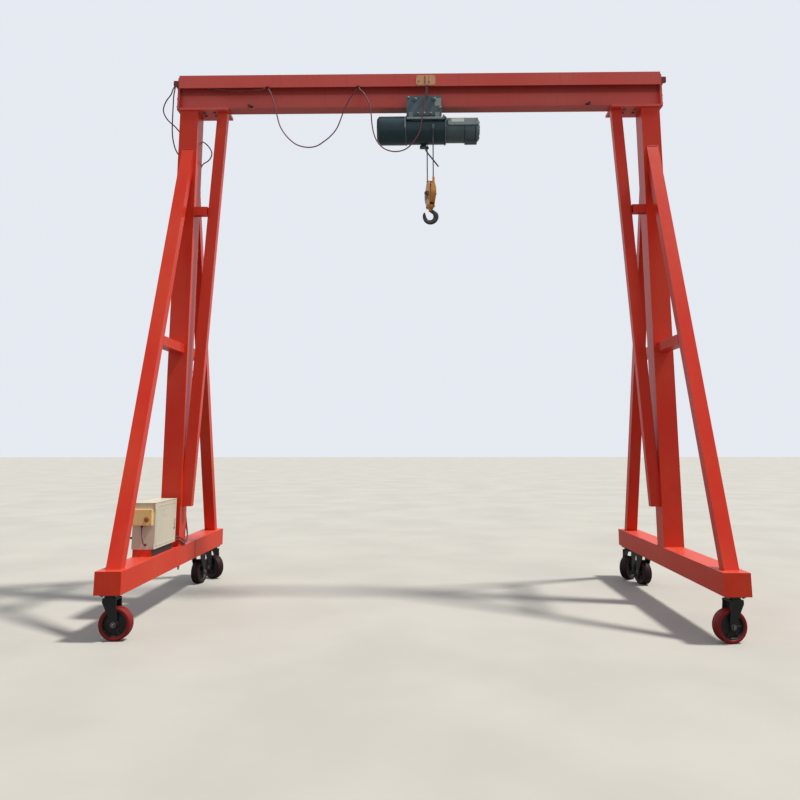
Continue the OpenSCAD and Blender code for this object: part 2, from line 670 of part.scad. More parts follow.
module hook() {
  color([0.16, 0.17, 0.18]) translate([block_x, block_y, 0]) {
    translate([0, 0, bowl_z + hook_r - 6])
      cylinder(r = 18, h = cheek_low + cross_h - 6 - bowl_z - hook_r, $fn = 40);
    translate([0, 0, cheek_low - 12 - eps]) cylinder(r = 32, h = 12, $fn = 40);
    translate([0, 0, bowl_z]) rotate([90, 0, 0]) {
      rotate([0, 0, 170]) {
        rotate_extrude(angle = 280, $fn = 72) translate([hook_r, 0]) circle(r = hook_bar_r, $fn = 32);
        translate([hook_r, 4, 0]) rotate([90, 0, 0]) cylinder(r1 = hook_bar_r - 1, r2 = 9, h = 26, $fn = 32);
      }
      translate([0, hook_r, 0]) sphere(r = hook_bar_r + 3, $fn = 40);
    }
  }
}

// A flat hook that grips the cap's lip and holds the cable in front of the hoist.
module lip_hook(x, slack) {
  translate([x - hook_plate_w / 2, 0, 0]) rotate([90, 0, 90]) linear_extrude(hook_plate_w)
    polygon([[lip_y - slack, lip_z + hook_grip], [lip_y - 5, lip_z + hook_grip], [lip_y - 5, lip_z - 8],
      [loop_y - hook_half, hook_z + 8], [loop_y - hook_half, hook_z], [loop_y + hook_half, hook_z],
      [lip_y + 2, lip_z - 16], [lip_y + cap_t + 6, lip_z - 16], [lip_y + cap_t + 6, lip_z + 20],
      [lip_y + cap_t + slack, lip_z + 20], [lip_y + cap_t + slack, lip_z - slack],
      [lip_y - slack, lip_z - slack]]);
}

module cable_carrier() {
  color([0.35, 0.2, 0.22]) lip_hook(carrier_x, 0.5);
}

// A cable that hangs straight down from two hooks in the plane y, with hand-set points [x, z] for
// the loop between.
function hung_route(x0, low, x1, y, n) = concat([[x0, y, hook_z - eps]],
  smooth_route([for (q = concat([[x0, hook_z - 14]], low, [[x1, hook_z - 14]])) [q[0], y, q[1]]], n),
  [[x1, y, hook_z - eps]]);

loop_1_pts = [[-1698, 5640], [-1655, 5523], [-1618, 5378], [-1571, 5221], [-1494, 5103],
  [-1393, 5012], [-1300, 4978], [-1225, 4972], [-1147, 4990], [-1065, 5046], [-1000, 5102],
  [-932, 5190], [-880, 5322], [-850, 5414], [-776, 5568], [-716, 5646]];
loop_2_pts = [[-668, 5652], [-629, 5612], [-570, 5495], [-540, 5365], [-530, 5249], [-508, 5127],
  [-466, 5024], [-394, 4946], [-325, 4915], [-255, 4906], [-190, 4917], [-130, 4946], [-50, 5032],
  [10, 5145], [36, 5285], [60, 5444], [76, 5567], [88, 5632]];

module cable_loop_1() {
  color([0.35, 0.24, 0.28])
    tube_along(hung_route(fixed_hook_x + 9, loop_1_pts, carrier_x - 9, loop_1_y, 5), cable_r);
}

module cable_loop_2() {
  color([0.38, 0.26, 0.30])
    tube_along(hung_route(carrier_x + 9, loop_2_pts, tow_x, loop_2_y, 4), cable_r);
}

main_beam();
beam_cap();
beam_fittings();
beam_plate();
head_plates();
columns();
base_beams();
braces();
inner_struts();
ties();
caster_plates();
cabinet_shell();
cabinet_riser();
cabinet_door();
switch_box();
supply_cable();
at_fl() fork();  // fork_fl
at_fl() core();  // core_fl
at_fl() tyre();  // tyre_fl
at_fr() fork();  // fork_fr
at_fr() core();  // core_fr
at_fr() tyre();  // tyre_fr
at_bl_in() fork();  // fork_bl_in
at_bl_in() core();  // core_bl_in
at_bl_in() tyre();  // tyre_bl_in
at_bl_out() fork();  // fork_bl_out
at_bl_out() core();  // core_bl_out
at_bl_out() tyre();  // tyre_bl_out
at_br_in() fork();  // fork_br_in
at_br_in() core();  // core_br_in
at_br_in() tyre();  // tyre_br_in
at_br_out() fork();  // fork_br_out
at_br_out() core();  // core_br_out
at_br_out() tyre();  // tyre_br_out
trolley_frame();
drum_housing();
hoist_motor();
control_box();
rope_fall();
rope_anchored();
hook_block();
hook();
cable_carrier();
cable_loop_1();
cable_loop_2();
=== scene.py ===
# %% [markdown]
# # A mobile gantry crane
# The crane is a red painted steel portal on six swivel casters. A wire-rope hoist hangs from a
# trolley that runs on the lower flange of the beam, a festoon cable feeds it, and a cabinet on the
# left base beam holds the switchgear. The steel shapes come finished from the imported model. This
# lesson gives them their paint, and adds what is too small or too soft for construction: welds,
# bolts, cables, stranded rope, a forged hook and the fittings of the hoist and the cabinet.

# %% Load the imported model
import json
import math
from itertools import product
import bpy
import numpy as np
from mathutils import Matrix


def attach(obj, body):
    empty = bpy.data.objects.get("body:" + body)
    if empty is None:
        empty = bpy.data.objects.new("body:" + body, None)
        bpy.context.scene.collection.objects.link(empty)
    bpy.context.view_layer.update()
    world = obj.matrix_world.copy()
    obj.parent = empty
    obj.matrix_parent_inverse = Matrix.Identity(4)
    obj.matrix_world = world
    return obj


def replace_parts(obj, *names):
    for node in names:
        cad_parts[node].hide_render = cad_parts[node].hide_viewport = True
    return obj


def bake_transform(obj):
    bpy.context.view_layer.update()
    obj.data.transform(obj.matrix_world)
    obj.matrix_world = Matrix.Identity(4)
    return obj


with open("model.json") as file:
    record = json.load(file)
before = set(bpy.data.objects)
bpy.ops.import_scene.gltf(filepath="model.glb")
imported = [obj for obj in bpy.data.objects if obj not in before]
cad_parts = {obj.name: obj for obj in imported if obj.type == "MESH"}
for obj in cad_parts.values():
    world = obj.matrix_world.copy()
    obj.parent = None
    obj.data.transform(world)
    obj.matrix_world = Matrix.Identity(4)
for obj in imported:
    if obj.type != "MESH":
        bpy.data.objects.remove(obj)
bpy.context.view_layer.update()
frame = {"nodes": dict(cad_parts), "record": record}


def in_scene(name, data):
    """A new object for the data, linked into the scene."""
    thing = bpy.data.objects.new(name, data)
    bpy.context.scene.collection.objects.link(thing)
    return thing

nodes = frame["nodes"]

# %% [markdown]
# ## Camera
# The photo was taken from eye height in front of the middle of the beam, about eight metres away
# and looking slightly up. Nine numbers describe that: the place, three turns, the focal length in
# pixels, and the point of the picture that the lens faces. That point lies above the middle because
# the picture is part of a taller one, so the camera gets a small shift instead of a steeper pitch,
# which would tilt the columns.

# %% Camera
camera_place = (-0.008, -7.883, 1.649)
yaw, pitch, roll = -0.016, 0.1501, -0.0007
picture_px, focal_px, facing_px = 800.0, 718.3, (407.27, 336.08)
sensor_mm = 36.0

ahead = np.array([math.sin(yaw) * math.cos(pitch), math.cos(yaw) * math.cos(pitch), math.sin(pitch)])
level_right = np.array([math.cos(yaw), -math.sin(yaw), 0.0])
level_up = np.cross(level_right, ahead)
right = level_right * math.cos(roll) + level_up * math.sin(roll)
up = level_up * math.cos(roll) - level_right * math.sin(roll)

lens = bpy.data.cameras.new("photo_camera")
lens.sensor_width = sensor_mm
lens.lens = sensor_mm * focal_px / picture_px
lens.shift_x = (picture_px / 2 - facing_px[0]) / picture_px
lens.shift_y = (facing_px[1] - picture_px / 2) / picture_px
lens.clip_end = 200.0
camera = in_scene("photo_camera", lens)
turn = Matrix(np.column_stack([right, up, -ahead]).tolist()).to_4x4()
camera.matrix_world = Matrix.Translation(camera_place) @ turn
bpy.context.scene.camera = camera
print("focal length", round(lens.lens, 2), "mm")

# %% [markdown]
# ## Surfaces from arrays
# Every new piece starts as a surface on a grid of two parameters. The points come from one numpy
# expression, the faces from a second one, and both go into the mesh in one call each. A piece is
# kept as its points and a list of face tables, so pieces can be turned, moved and joined as arrays
# before Blender sees them.

# %% Arrays to mesh
def grid_faces(rows, columns, closed=False):
    """Four-sided faces between rows of points: each face joins a point to its neighbours in the
    next row and column. The last column joins the first, and where closed is true the last row
    joins the first row too."""
    i, j = np.meshgrid(np.arange(rows if closed else rows - 1), np.arange(columns), indexing="ij")
    here, there, beside = i * columns, (i + 1) % rows * columns, (j + 1) % columns
    return np.stack([here + j, here + beside, there + beside, there + j], -1).reshape(-1, 4)


def tube_faces(rows, around):
    """The faces between rows of rings, and one many-sided face over each end."""
    ring = np.arange(around)
    return [grid_faces(rows, around), ring[None, ::-1], (ring + (rows - 1) * around)[None]]


def joined(pieces):
    """One piece from many: the points in a row, and every face table raised by the number of
    points before it."""
    starts = np.cumsum([0] + [len(points) for points, _ in pieces[:-1]])
    points = np.concatenate([p for p, _ in pieces])
    return points, [t + s for (_, ts), s in zip(pieces, starts) for t in ts]


def placed(piece, turn=np.eye(3), move=(0.0, 0.0, 0.0)):
    """The piece's points times a 3 by 3 turn, plus a move."""
    points, tables = piece
    return points @ turn.T + move, tables


def copies(piece, turn, places):
    """The piece at each of the places, turned the same way at all of them."""
    return [placed(piece, turn, place) for place in places]


def unit(vectors):
    """The vectors, each divided by its length."""
    return vectors / np.linalg.norm(vectors, axis=-1, keepdims=True)


def basis_along(direction):
    """A right-handed turn whose third column points along direction."""
    w = unit(np.asarray(direction, float))
    u = unit(np.cross([0.0, 0.0, 1.0] if abs(w[2]) < 0.9 else [1.0, 0.0, 0.0], w))
    return np.column_stack([u, np.cross(w, u), w])


def make_object(name, pieces, look, body, slot=None, smooth=False):
    """A mesh object from one piece or a list of them, with one look, riding on a body. The slot
    argument is not used."""
    points, tables = joined(pieces) if isinstance(pieces, list) else pieces
    mesh = bpy.data.meshes.new(name)
    loops = np.concatenate([t.ravel() for t in tables]).astype(np.int32)
    sides = np.concatenate([np.full(len(t), t.shape[1]) for t in tables]).astype(np.int32)
    mesh.vertices.add(len(points))
    mesh.vertices.foreach_set("co", np.asarray(points, np.float32).ravel())
    mesh.loops.add(len(loops))
    mesh.loops.foreach_set("vertex_index", loops)
    mesh.polygons.add(len(sides))
    mesh.polygons.foreach_set("loop_start", (np.cumsum(sides) - sides).astype(np.int32))
    mesh.polygons.foreach_set("loop_total", sides)
    mesh.polygons.foreach_set("use_smooth", np.full(len(sides), smooth))
    mesh.update(calc_edges=True)
    mesh.validate()
    mesh.materials.append(looks[look])
    thing = in_scene(name, mesh)
    slot = slot or look
    if body:
        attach(thing, body)
    return thing

# %% [markdown]
# ## Profiles carried along paths
# A tube, a weld and a cable are the same idea: a closed ring of points carried along a path, with
# the ring kept square to the path. The ring's first direction is carried on from point to point
# and never picked afresh, which keeps the tube from twisting. A lathe is a profile carried round an
# axis, and a plate is an outline carried along a straight line.

# %% Tubes, lathes and plates
def run_along(path):
    """The way covered from the start of the path to each of its points."""
    return np.concatenate([[0.0], np.cumsum(np.linalg.norm(np.diff(path, axis=0), axis=1))])


def full_turn(count):
    """Angles spaced evenly round a circle."""
    return np.linspace(0, 2 * np.pi, count, endpoint=False)


def even_path(corners, step):
    """Points every step along a smooth curve through the corners: a Catmull-Rom curve whose
    parameter runs with the square root of the corner distances, measured and spaced evenly."""
    p = np.asarray(corners, float)
    gaps = np.sqrt(np.linalg.norm(np.diff(p, axis=0), axis=1))
    knots = np.concatenate([[0.0], np.cumsum(gaps)])
    slope = np.gradient(p, knots, axis=0)
    t = np.linspace(0.0, knots[-1], 60 * len(p))
    k = np.clip(np.searchsorted(knots, t, side="right") - 1, 0, len(p) - 2)
    h = (knots[k + 1] - knots[k])[:, None]
    s = (t - knots[k])[:, None] / h
    fine = ((2 * s**3 - 3 * s**2 + 1) * p[k] + (s**3 - 2 * s**2 + s) * h * slope[k]
            + (3 * s**2 - 2 * s**3) * p[k + 1] + (s**3 - s**2) * h * slope[k + 1])
    run = run_along(fine)
    even = np.linspace(0.0, run[-1], max(2, int(round(run[-1] / step)) + 1))
    return np.column_stack([np.interp(even, run, fine[:, a]) for a in range(3)])


def frames_along(path):
    """Two directions square to the path at each point: the first is the one before it, less its
    part along the path, so that it turns as little as it can."""
    ahead = unit(np.gradient(path, axis=0))
    side = np.empty_like(path)
    side[0] = basis_along(ahead[0])[:, 0]
    for i in range(1, len(path)):
        side[i] = unit(side[i - 1] - ahead[i] * (side[i - 1] @ ahead[i]))
    return side, np.cross(ahead, side)


def tube(path, radius, around=12):
    """A ring at each point of the path: the point plus radius times cosine times the side plus
    sine times the other side. radius is one number, or a table with a row for each point."""
    side, other = frames_along(path)
    angle = full_turn(around)[None, :, None]
    r = np.broadcast_to(radius, (len(path), around))[..., None]
    rings = path[:, None] + r * (np.cos(angle) * side[:, None] + np.sin(angle) * other[:, None])
    return rings.reshape(-1, 3), tube_faces(len(path), around)


def circles(profile, around):
    """A ring of points for each (radius, height) pair of the profile: radius times cosine, radius
    times sine, height."""
    r, h = np.asarray(profile, float).T[..., None]
    angle = full_turn(around)
    return np.stack([r * np.cos(angle), r * np.sin(angle), h + 0 * angle], -1).reshape(-1, 3)


def lathe(profile, around=20):
    """A profile turned about Z and closed by a flat face at each end."""
    return circles(profile, around), tube_faces(len(profile), around)


def turned_ring(profile, around=40):
    """A closed profile, given against the clock, carried round Z: its last point joins its first,
    so the ring is hollow in the middle."""
    return circles(profile, around), [grid_faces(len(profile), around, closed=True)]


def flat_ring(inner, outer, low, high, around=40):
    """A ring with a square section whose outer edges are cut by a tenth of its height."""
    cut = (high - low) * 0.1
    return turned_ring([(inner, low), (outer - cut, low), (outer, low + cut), (outer, high - cut),
                        (outer - cut, high), (inner, high)], around)


def slab(outline, thickness, edge=0.0):
    """An outline in XY, given once round against the clock, carried up Z by thickness. With edge,
    the rim is cut at a slope: the two outer rings are drawn in towards the middle by edge."""
    outline = np.asarray(outline, float)
    a, b = unit(outline - np.roll(outline, 1, 0)), unit(np.roll(outline, -1, 0) - outline)
    inward = np.stack([-a[:, 1] - b[:, 1], a[:, 0] + b[:, 0]], -1) / (1 + (a * b).sum(1))[:, None]
    rings = [(outline, 0.0), (outline, thickness)]
    if edge > 0:
        rings = [(outline + inward * edge, 0.0), (outline, edge),
                 (outline, thickness - edge), (outline + inward * edge, thickness)]
    points = np.concatenate([np.column_stack([o, np.full(len(o), z)]) for o, z in rings])
    return points, tube_faces(len(rings), len(outline))


def block(low, high, edge):
    """A box between two corners with its upper and lower rims cut at a slope."""
    (x0, y0, z0), (x1, y1, z1) = low, high
    return placed(slab([(x0, y0), (x1, y0), (x1, y1), (x0, y1)], z1 - z0, edge), move=(0, 0, z0))


def rounded_outline(width, height, radius, steps=5):
    """A rectangle about the origin with quarter circles at its corners."""
    x, y = width / 2 - radius, height / 2 - radius
    quarter = np.linspace(0, np.pi / 2, steps + 1)
    return np.concatenate([
        np.column_stack([cx + radius * np.cos(quarter + q), cy + radius * np.sin(quarter + q)])
        for (cx, cy), q in zip([(x, y), (-x, y), (-x, -y), (x, -y)], np.arange(4) * np.pi / 2)])

# %% [markdown]
# ## Ways to face
# Small fittings are drawn flat, standing on XY and pointing up Z, and then turned to the face they
# sit on. Each turn is named after the way in which it points the fitting: towards the viewer (-Y),
# away (+Y), towards +X, -X or the floor. What sits alike on both sides takes its turn together with
# a sign from a pair.

# %% Facing turns
upright, to_floor = np.eye(3), np.diag([1.0, -1.0, -1.0])
to_front = np.array([[1.0, 0, 0], [0, 0, -1], [0, 1, 0]])
to_back = np.array([[-1.0, 0, 0], [0, 0, 1], [0, 1, 0]])
to_right = np.array([[0.0, 0, 1], [1, 0, 0], [0, 1, 0]])
to_left = np.array([[0.0, 0, -1], [-1, 0, 0], [0, 1, 0]])
left_and_right = (to_right, 1), (to_left, -1)
front_and_back = (to_front, -1), (to_back, 1)


def around_z(degrees):
    c, s = math.cos(math.radians(degrees)), math.sin(math.radians(degrees))
    return np.array([[c, -s, 0.0], [s, c, 0.0], [0.0, 0.0, 1.0]])

# %% [markdown]
# ## Bolts and welds
# A bolt is a washer and a six-sided head with a chamfer, so it is one small piece repeated at a
# list of places. A weld is a thin tube laid into the corner between two plates. Its radius swells
# and shrinks every few millimetres, as the pool of metal froze in scales.

# %% Bolt and weld helpers
def bolt(size):
    """A washer and a hexagon head for a thread of this diameter, standing on XY and pointing up Z."""
    low, high = size * 0.16, size * 0.84
    washer = lathe([(size * 1.02, 0), (size * 1.05, 0.0006), (size * 1.02, low), (size * 0.4, size * 0.17)])
    return joined([washer, lathe([(size * 0.9, low), (size * 0.9, high - size * 0.1), (size * 0.74, high)], 6)])


def bolts(size, turn, places):
    return copies(bolt(size), turn, places)


def weld(start, end, radius, pitch=0.011):
    """A straight bead from start to end whose radius swings by a fifth with each scale."""
    start, end = np.asarray(start, float), np.asarray(end, float)
    length = np.linalg.norm(end - start)
    t = np.linspace(0, 1, max(4, int(length / pitch * 3)))[:, None]
    wave = 1 + 0.2 * np.sin(2 * np.pi * t * length / pitch) + 0.06 * np.sin(37.0 * t * length)
    taper = np.minimum(1, 0.5 + 8 * np.minimum(t, 1 - t))
    return tube(start + t * (end - start), radius * wave * taper, 6)


def weld_round(corners, radius):
    """Beads along each side of a closed outline."""
    return joined([weld(a, b, radius) for a, b in zip(corners, corners[1:] + corners[:1])])


def rect(x0, x1, y0, y1, z0, z1=None):
    """A flat outline whose first side lies at y0 and z0, and whose third at y1 and z1. It is level
    where no second height is given."""
    z1 = z0 if z1 is None else z1
    return [(x0, y0, z0), (x1, y0, z0), (x1, y1, z1), (x0, y1, z1)]

print("helpers ready; a bolt of 12 mm has", len(bolt(0.012)[0]), "points")

# %% [markdown]
# ## Shared shader groups
# Three effects are on nearly every piece: paint that has faded and gathered dust, edges where it
# has chipped, and the fine skin of sprayed paint. Each is a node group with named inputs, built
# once and placed in each material with its own values. A group gives out only colours, masks and
# heights. The shader itself stays in the material.

# %% Node helpers
def feed(tree, node, values):
    """Sets the node's inputs by name or number. A value that is a socket is linked."""
    for key, value in values.items():
        if isinstance(value, bpy.types.NodeSocket):
            tree.links.new(value, node.inputs[key])
        else:
            node.inputs[key].default_value = value


def add(tree, kind, values={}, **settings):
    """A node with its settings and inputs."""
    made = tree.nodes.new("ShaderNode" + kind)
    for key, value in settings.items():
        setattr(made, key, value)
    feed(tree, made, values)
    return made


def maths(tree, operation, a, b, clamp=False):
    return add(tree, "Math", {0: a, 1: b}, operation=operation, use_clamp=clamp).outputs[0]


def times(tree, a, b, clamp=False):
    return maths(tree, "MULTIPLY", a, b, clamp)


def plus(tree, a, b, clamp=False):
    return maths(tree, "ADD", a, b, clamp)


def mixed(tree, share, a, b):
    return add(tree, "Mix", {0: share, 6: a, 7: b}, data_type="RGBA").outputs[2]


def stepped(tree, value, low, high, out_low=0.0, out_high=1.0):
    """value spread from low..high to out_low..out_high, smooth at both ends."""
    spread = {0: value, 1: low, 2: high, 3: out_low, 4: out_high}
    return add(tree, "MapRange", spread, interpolation_type="SMOOTHSTEP").outputs[0]


def object_point(tree):
    return add(tree, "TexCoord").outputs["Object"]


def stretched(tree, where, scale):
    return add(tree, "Mapping", {"Vector": where, "Scale": scale}).outputs[0]


def noise(tree, where, scale, detail, roughness=0.5):
    values = {"Vector": where, "Scale": scale, "Detail": detail, "Roughness": roughness}
    return add(tree, "TexNoise", values).outputs[0]


def bumped(tree, height, strength, distance):
    return add(tree, "Bump", {"Height": height, "Strength": strength, "Distance": distance}).outputs[0]


def new_group(name, defaults):
    """A node group with an input for each default, which is a colour or a number."""
    tree = bpy.data.node_groups.new(name, "ShaderNodeTree")
    for label, value in defaults.items():
        kind = "NodeSocketColor" if isinstance(value, tuple) else "NodeSocketFloat"
        tree.interface.new_socket(label, in_out="INPUT", socket_type=kind).default_value = value
    return tree, tree.nodes.new("NodeGroupInput").outputs


def give_out(tree, results):
    """The group's outputs, one for each named result."""
    for label, socket in results.items():
        tree.interface.new_socket(label, in_out="OUTPUT", socket_type=socket.bl_idname)
    feed(tree, tree.nodes.new("NodeGroupOutput"), results)

# %% Weathered paint group
weathered, given = new_group("weathered_paint", {
    "Paint": (0.5, 0.1, 0.05, 1), "Faded": (0.6, 0.2, 0.12, 1), "Dust Colour": (0.42, 0.34, 0.27, 1),
    "Patch Size": 1.0, "Fade": 0.5, "Dust": 0.3, "Streaks": 0.2, "Roughness": 0.35})
tree, where = weathered, object_point(weathered)
patches = noise(tree, where, given["Patch Size"], 5.0, 0.6)
fade = times(tree, stepped(tree, patches, 0.35, 0.7), given["Fade"])
faded = mixed(tree, fade, given["Paint"], given["Faded"])
run_marks = noise(tree, stretched(tree, where, (38.0, 38.0, 1.6)), 1.0, 3.0)
marks = times(tree, stepped(tree, run_marks, 0.55, 0.78), given["Streaks"])
streaked = mixed(tree, marks, faded, mixed(tree, 0.55, given["Paint"], (0.05, 0.02, 0.015, 1)))
facing_up = add(tree, "SeparateXYZ", {0: add(tree, "NewGeometry").outputs["Normal"]}).outputs[2]
fine = noise(tree, where, 22.0, 6.0, 0.7)
settled = times(tree, stepped(tree, facing_up, 0.2, 1.0, 0.12, 1.0), stepped(tree, fine, 0.3, 0.75))
dust = times(tree, settled, given["Dust"], clamp=True)
rough = plus(tree, given["Roughness"], times(tree, dust, 0.4))
uneven = times(tree, maths(tree, "SUBTRACT", fine, 0.5), 0.16)
give_out(tree, {"Colour": mixed(tree, dust, streaked, given["Dust Colour"]),
                "Roughness": plus(tree, rough, uneven, clamp=True)})

# %% Edge wear group
edge_wear, given = new_group("edge_wear", {"Width": 0.003, "Amount": 0.5, "Chip Size": 60.0})
tree, where = edge_wear, object_point(edge_wear)
soft = add(tree, "Bevel", {"Radius": given["Width"]}, samples=6).outputs[0]
sharp = add(tree, "NewGeometry").outputs["Normal"]
agree = add(tree, "VectorMath", {0: soft, 1: sharp}, operation="DOT_PRODUCT").outputs["Value"]
chips = noise(tree, where, given["Chip Size"], 4.0, 0.65)
broad = noise(tree, where, 1.7, 2.0)
chance = times(tree, stepped(tree, chips, 0.46, 0.58), stepped(tree, broad, 0.35, 0.65, 0.25, 1.0))
worn = times(tree, times(tree, stepped(tree, agree, 0.995, 0.8), chance), given["Amount"], clamp=True)
give_out(tree, {"Mask": worn})

# %% Sprayed skin group
sprayed, given = new_group("sprayed_skin", {"Peel Size": 260.0, "Peel": 0.5, "Roll": 0.4})
tree, where = sprayed, object_point(sprayed)
peel = times(tree, noise(tree, where, given["Peel Size"], 1.5), given["Peel"])
give_out(tree, {"Height": plus(tree, peel, times(tree, noise(tree, where, 9.0, 3.0), given["Roll"]))})
print("groups:", [g.name for g in bpy.data.node_groups])

# %% [markdown]
# ## Paints and metals
# One function makes every painted finish, because they differ only in values: the paint's colour,
# how far it has faded, the bare metal or primer under its chips, and its gloss. The crane's red
# gets slightly different values on the frame, the base beams and the beam, where sun and dirt
# have treated it differently.

# %% Painted finish
looks = {}
primer, cast_grey, sheet_grey = (0.16, 0.1, 0.08, 1), (0.3, 0.3, 0.3, 1), (0.4, 0.38, 0.35, 1)


def srgb(r, g, b):
    """A colour measured on a screen, 0 to 255, as the light value that Blender mixes with."""
    c = np.array([r, g, b]) / 255.0
    return (*np.where(c <= 0.04045, c / 12.92, ((c + 0.055) / 1.055) ** 2.4).tolist(), 1.0)


def new_look(name):
    """A new material, kept in looks: its node tree and its shader."""
    looks[name] = bpy.data.materials.new(name)
    looks[name].use_nodes = True
    return looks[name].node_tree, looks[name].node_tree.nodes["Principled BSDF"]


def painted(name, paint, faded, under=cast_grey, roughness=0.35, patch=0.8, fade=0.5, dust=0.25,
            streaks=0.25, wear=0.5, width=0.003, peel=0.5, bump=0.12, under_metal=0.6, shine=0.35):
    """A painted finish: the paint and what it fades to, and what shows where it has chipped."""
    tree, shader = new_look(name)
    look = add(tree, "Group", node_tree=weathered).outputs
    feed(tree, look[0].node, {"Paint": srgb(*paint), "Faded": srgb(*faded), "Patch Size": patch,
                              "Fade": fade, "Dust": dust, "Streaks": streaks, "Roughness": roughness})
    chip = add(tree, "Group", {"Width": width, "Amount": wear}, node_tree=edge_wear).outputs[0]
    skin = add(tree, "Group", {"Peel": peel}, node_tree=sprayed).outputs[0]
    height = maths(tree, "SUBTRACT", skin, times(tree, chip, 0.6))
    feed(tree, shader, {"Base Color": mixed(tree, chip, look["Colour"], under),
                        "Roughness": plus(tree, look["Roughness"], times(tree, chip, 0.2), clamp=True),
                        "Metallic": times(tree, chip, under_metal),
                        "Normal": bumped(tree, height, bump, 0.002),
                        "Specular IOR Level": shine})

painted("frame_red", (213, 45, 23), (220, 84, 54), primer, fade=0.42, dust=0.06, streaks=0.16, shine=0.25)
painted("base_red", (211, 46, 20), (220, 84, 50), primer, fade=0.42, dust=0.22, streaks=0.1, wear=0.8,
        width=0.005, roughness=0.42, shine=0.25)
painted("beam_red", (214, 80, 70), (218, 104, 94), primer, fade=0.45, dust=0.06, streaks=0.22, shine=0.3)
painted("bracket_dark", (104, 30, 26), (124, 46, 38), (0.2, 0.2, 0.2, 1), dust=0.2, wear=0.8)
painted("caster_black", (15, 18, 17), (28, 31, 30), (0.35, 0.34, 0.33, 1), dust=0.07, wear=0.8, roughness=0.38)
painted("core_black", (15, 12, 12), (30, 22, 22), dust=0.15, wear=0.6, roughness=0.5, peel=1.4, bump=0.3)
painted("hoist_teal", (26, 54, 62), (38, 70, 78), dust=0.1, roughness=0.3, patch=3.0)
painted("trolley_grey", (70, 90, 96), (106, 124, 126), (0.34, 0.34, 0.33, 1), dust=0.15, wear=0.8, patch=4.0)
painted("strip_grey", (150, 160, 158), (128, 138, 136), dust=0.1, wear=0.6, patch=6.0, roughness=0.4)
painted("block_amber", (206, 134, 56), (214, 160, 94), (0.26, 0.24, 0.22, 1), dust=0.12, patch=6.0, width=0.004)
painted("amber_dark", (44, 32, 22), (64, 48, 32), (0.3, 0.28, 0.25, 1), dust=0.1, wear=0.8, patch=8.0)
painted("cabinet_cream", (212, 204, 184), (198, 190, 168), sheet_grey, dust=0.2, wear=0.35, peel=0.8,
        patch=2.5, roughness=0.45)
painted("plate_tan", (224, 162, 112), (228, 182, 138), sheet_grey, dust=0.15, wear=0.6, patch=7.0,
        roughness=0.4)
painted("box_ochre", (238, 200, 132), (242, 210, 150), srgb(150, 110, 60), dust=0.15, wear=0.2, patch=5.0,
        roughness=0.5, peel=1.0, under_metal=0.0)
painted("label_white", (226, 226, 222), (214, 214, 206), (0.5, 0.5, 0.5, 1), dust=0.15, streaks=0.1,
        wear=0.2, patch=9.0, roughness=0.4)

# %% Bare metals, tread and cable
def bare_metal(name, colour, roughness, oil, grain=(4.0, 160.0, 4.0)):
    """Worked steel: fine grain along one way, and darker oily patches."""
    tree, shader = new_look(name)
    where, clean = object_point(tree), srgb(*colour)
    lines = noise(tree, stretched(tree, where, grain), 3.0, 5.0)
    stains = times(tree, stepped(tree, noise(tree, where, 14.0, 4.0), 0.42, 0.66), oil)
    oily = (clean[0] * 0.45, clean[1] * 0.42, clean[2] * 0.4, 1)
    feed(tree, shader, {"Base Color": mixed(tree, stains, clean, oily),
                        "Roughness": plus(tree, times(tree, lines, 0.25), roughness - 0.12, clamp=True),
                        "Normal": bumped(tree, lines, 0.15, 0.0005), "Metallic": 1.0})


def moulded(name, colour, pale, roughness, scale, grit=0.3, shine=0.5):
    """Rubber, polyurethane or cable sheath: a body colour that pales with scuffs and dust."""
    tree, shader = new_look(name)
    where = object_point(tree)
    scuffs = noise(tree, where, scale, 7.0, 0.72)
    share = times(tree, stepped(tree, scuffs, 0.4, 0.72), grit)
    feed(tree, shader, {"Base Color": mixed(tree, share, srgb(*colour), srgb(*pale)),
                        "Roughness": plus(tree, times(tree, scuffs, 0.3), roughness - 0.15, clamp=True),
                        "Normal": bumped(tree, noise(tree, where, 420.0, 2.0), 0.2, 0.0006),
                        "Specular IOR Level": shine})

moulded("tread_red", (126, 20, 17), (140, 44, 38), 0.5, 12.0, 0.28, shine=0.25)
moulded("tread_dark", (40, 20, 22), (72, 40, 40), 0.55, 12.0, shine=0.2)
moulded("knob_brown", (150, 92, 38), (176, 122, 66), 0.42, 30.0)
moulded("cable_dark", (96, 40, 52), (136, 84, 94), 0.5, 7.0, 0.35)
moulded("dark_rubber", (26, 26, 27), (70, 68, 66), 0.6, 18.0)
bare_metal("hook_steel", (74, 74, 76), 0.42, 0.6)
bare_metal("rope_steel", (90, 86, 88), 0.45, 0.7, (60.0, 60.0, 60.0))
bare_metal("bolt_steel", (128, 126, 120), 0.38, 0.5, (30.0, 30.0, 30.0))

for part in frame["record"]["subparts"]:
    for place in nodes[part["node"]].material_slots:
        place.material = looks[part["material_slot"]]
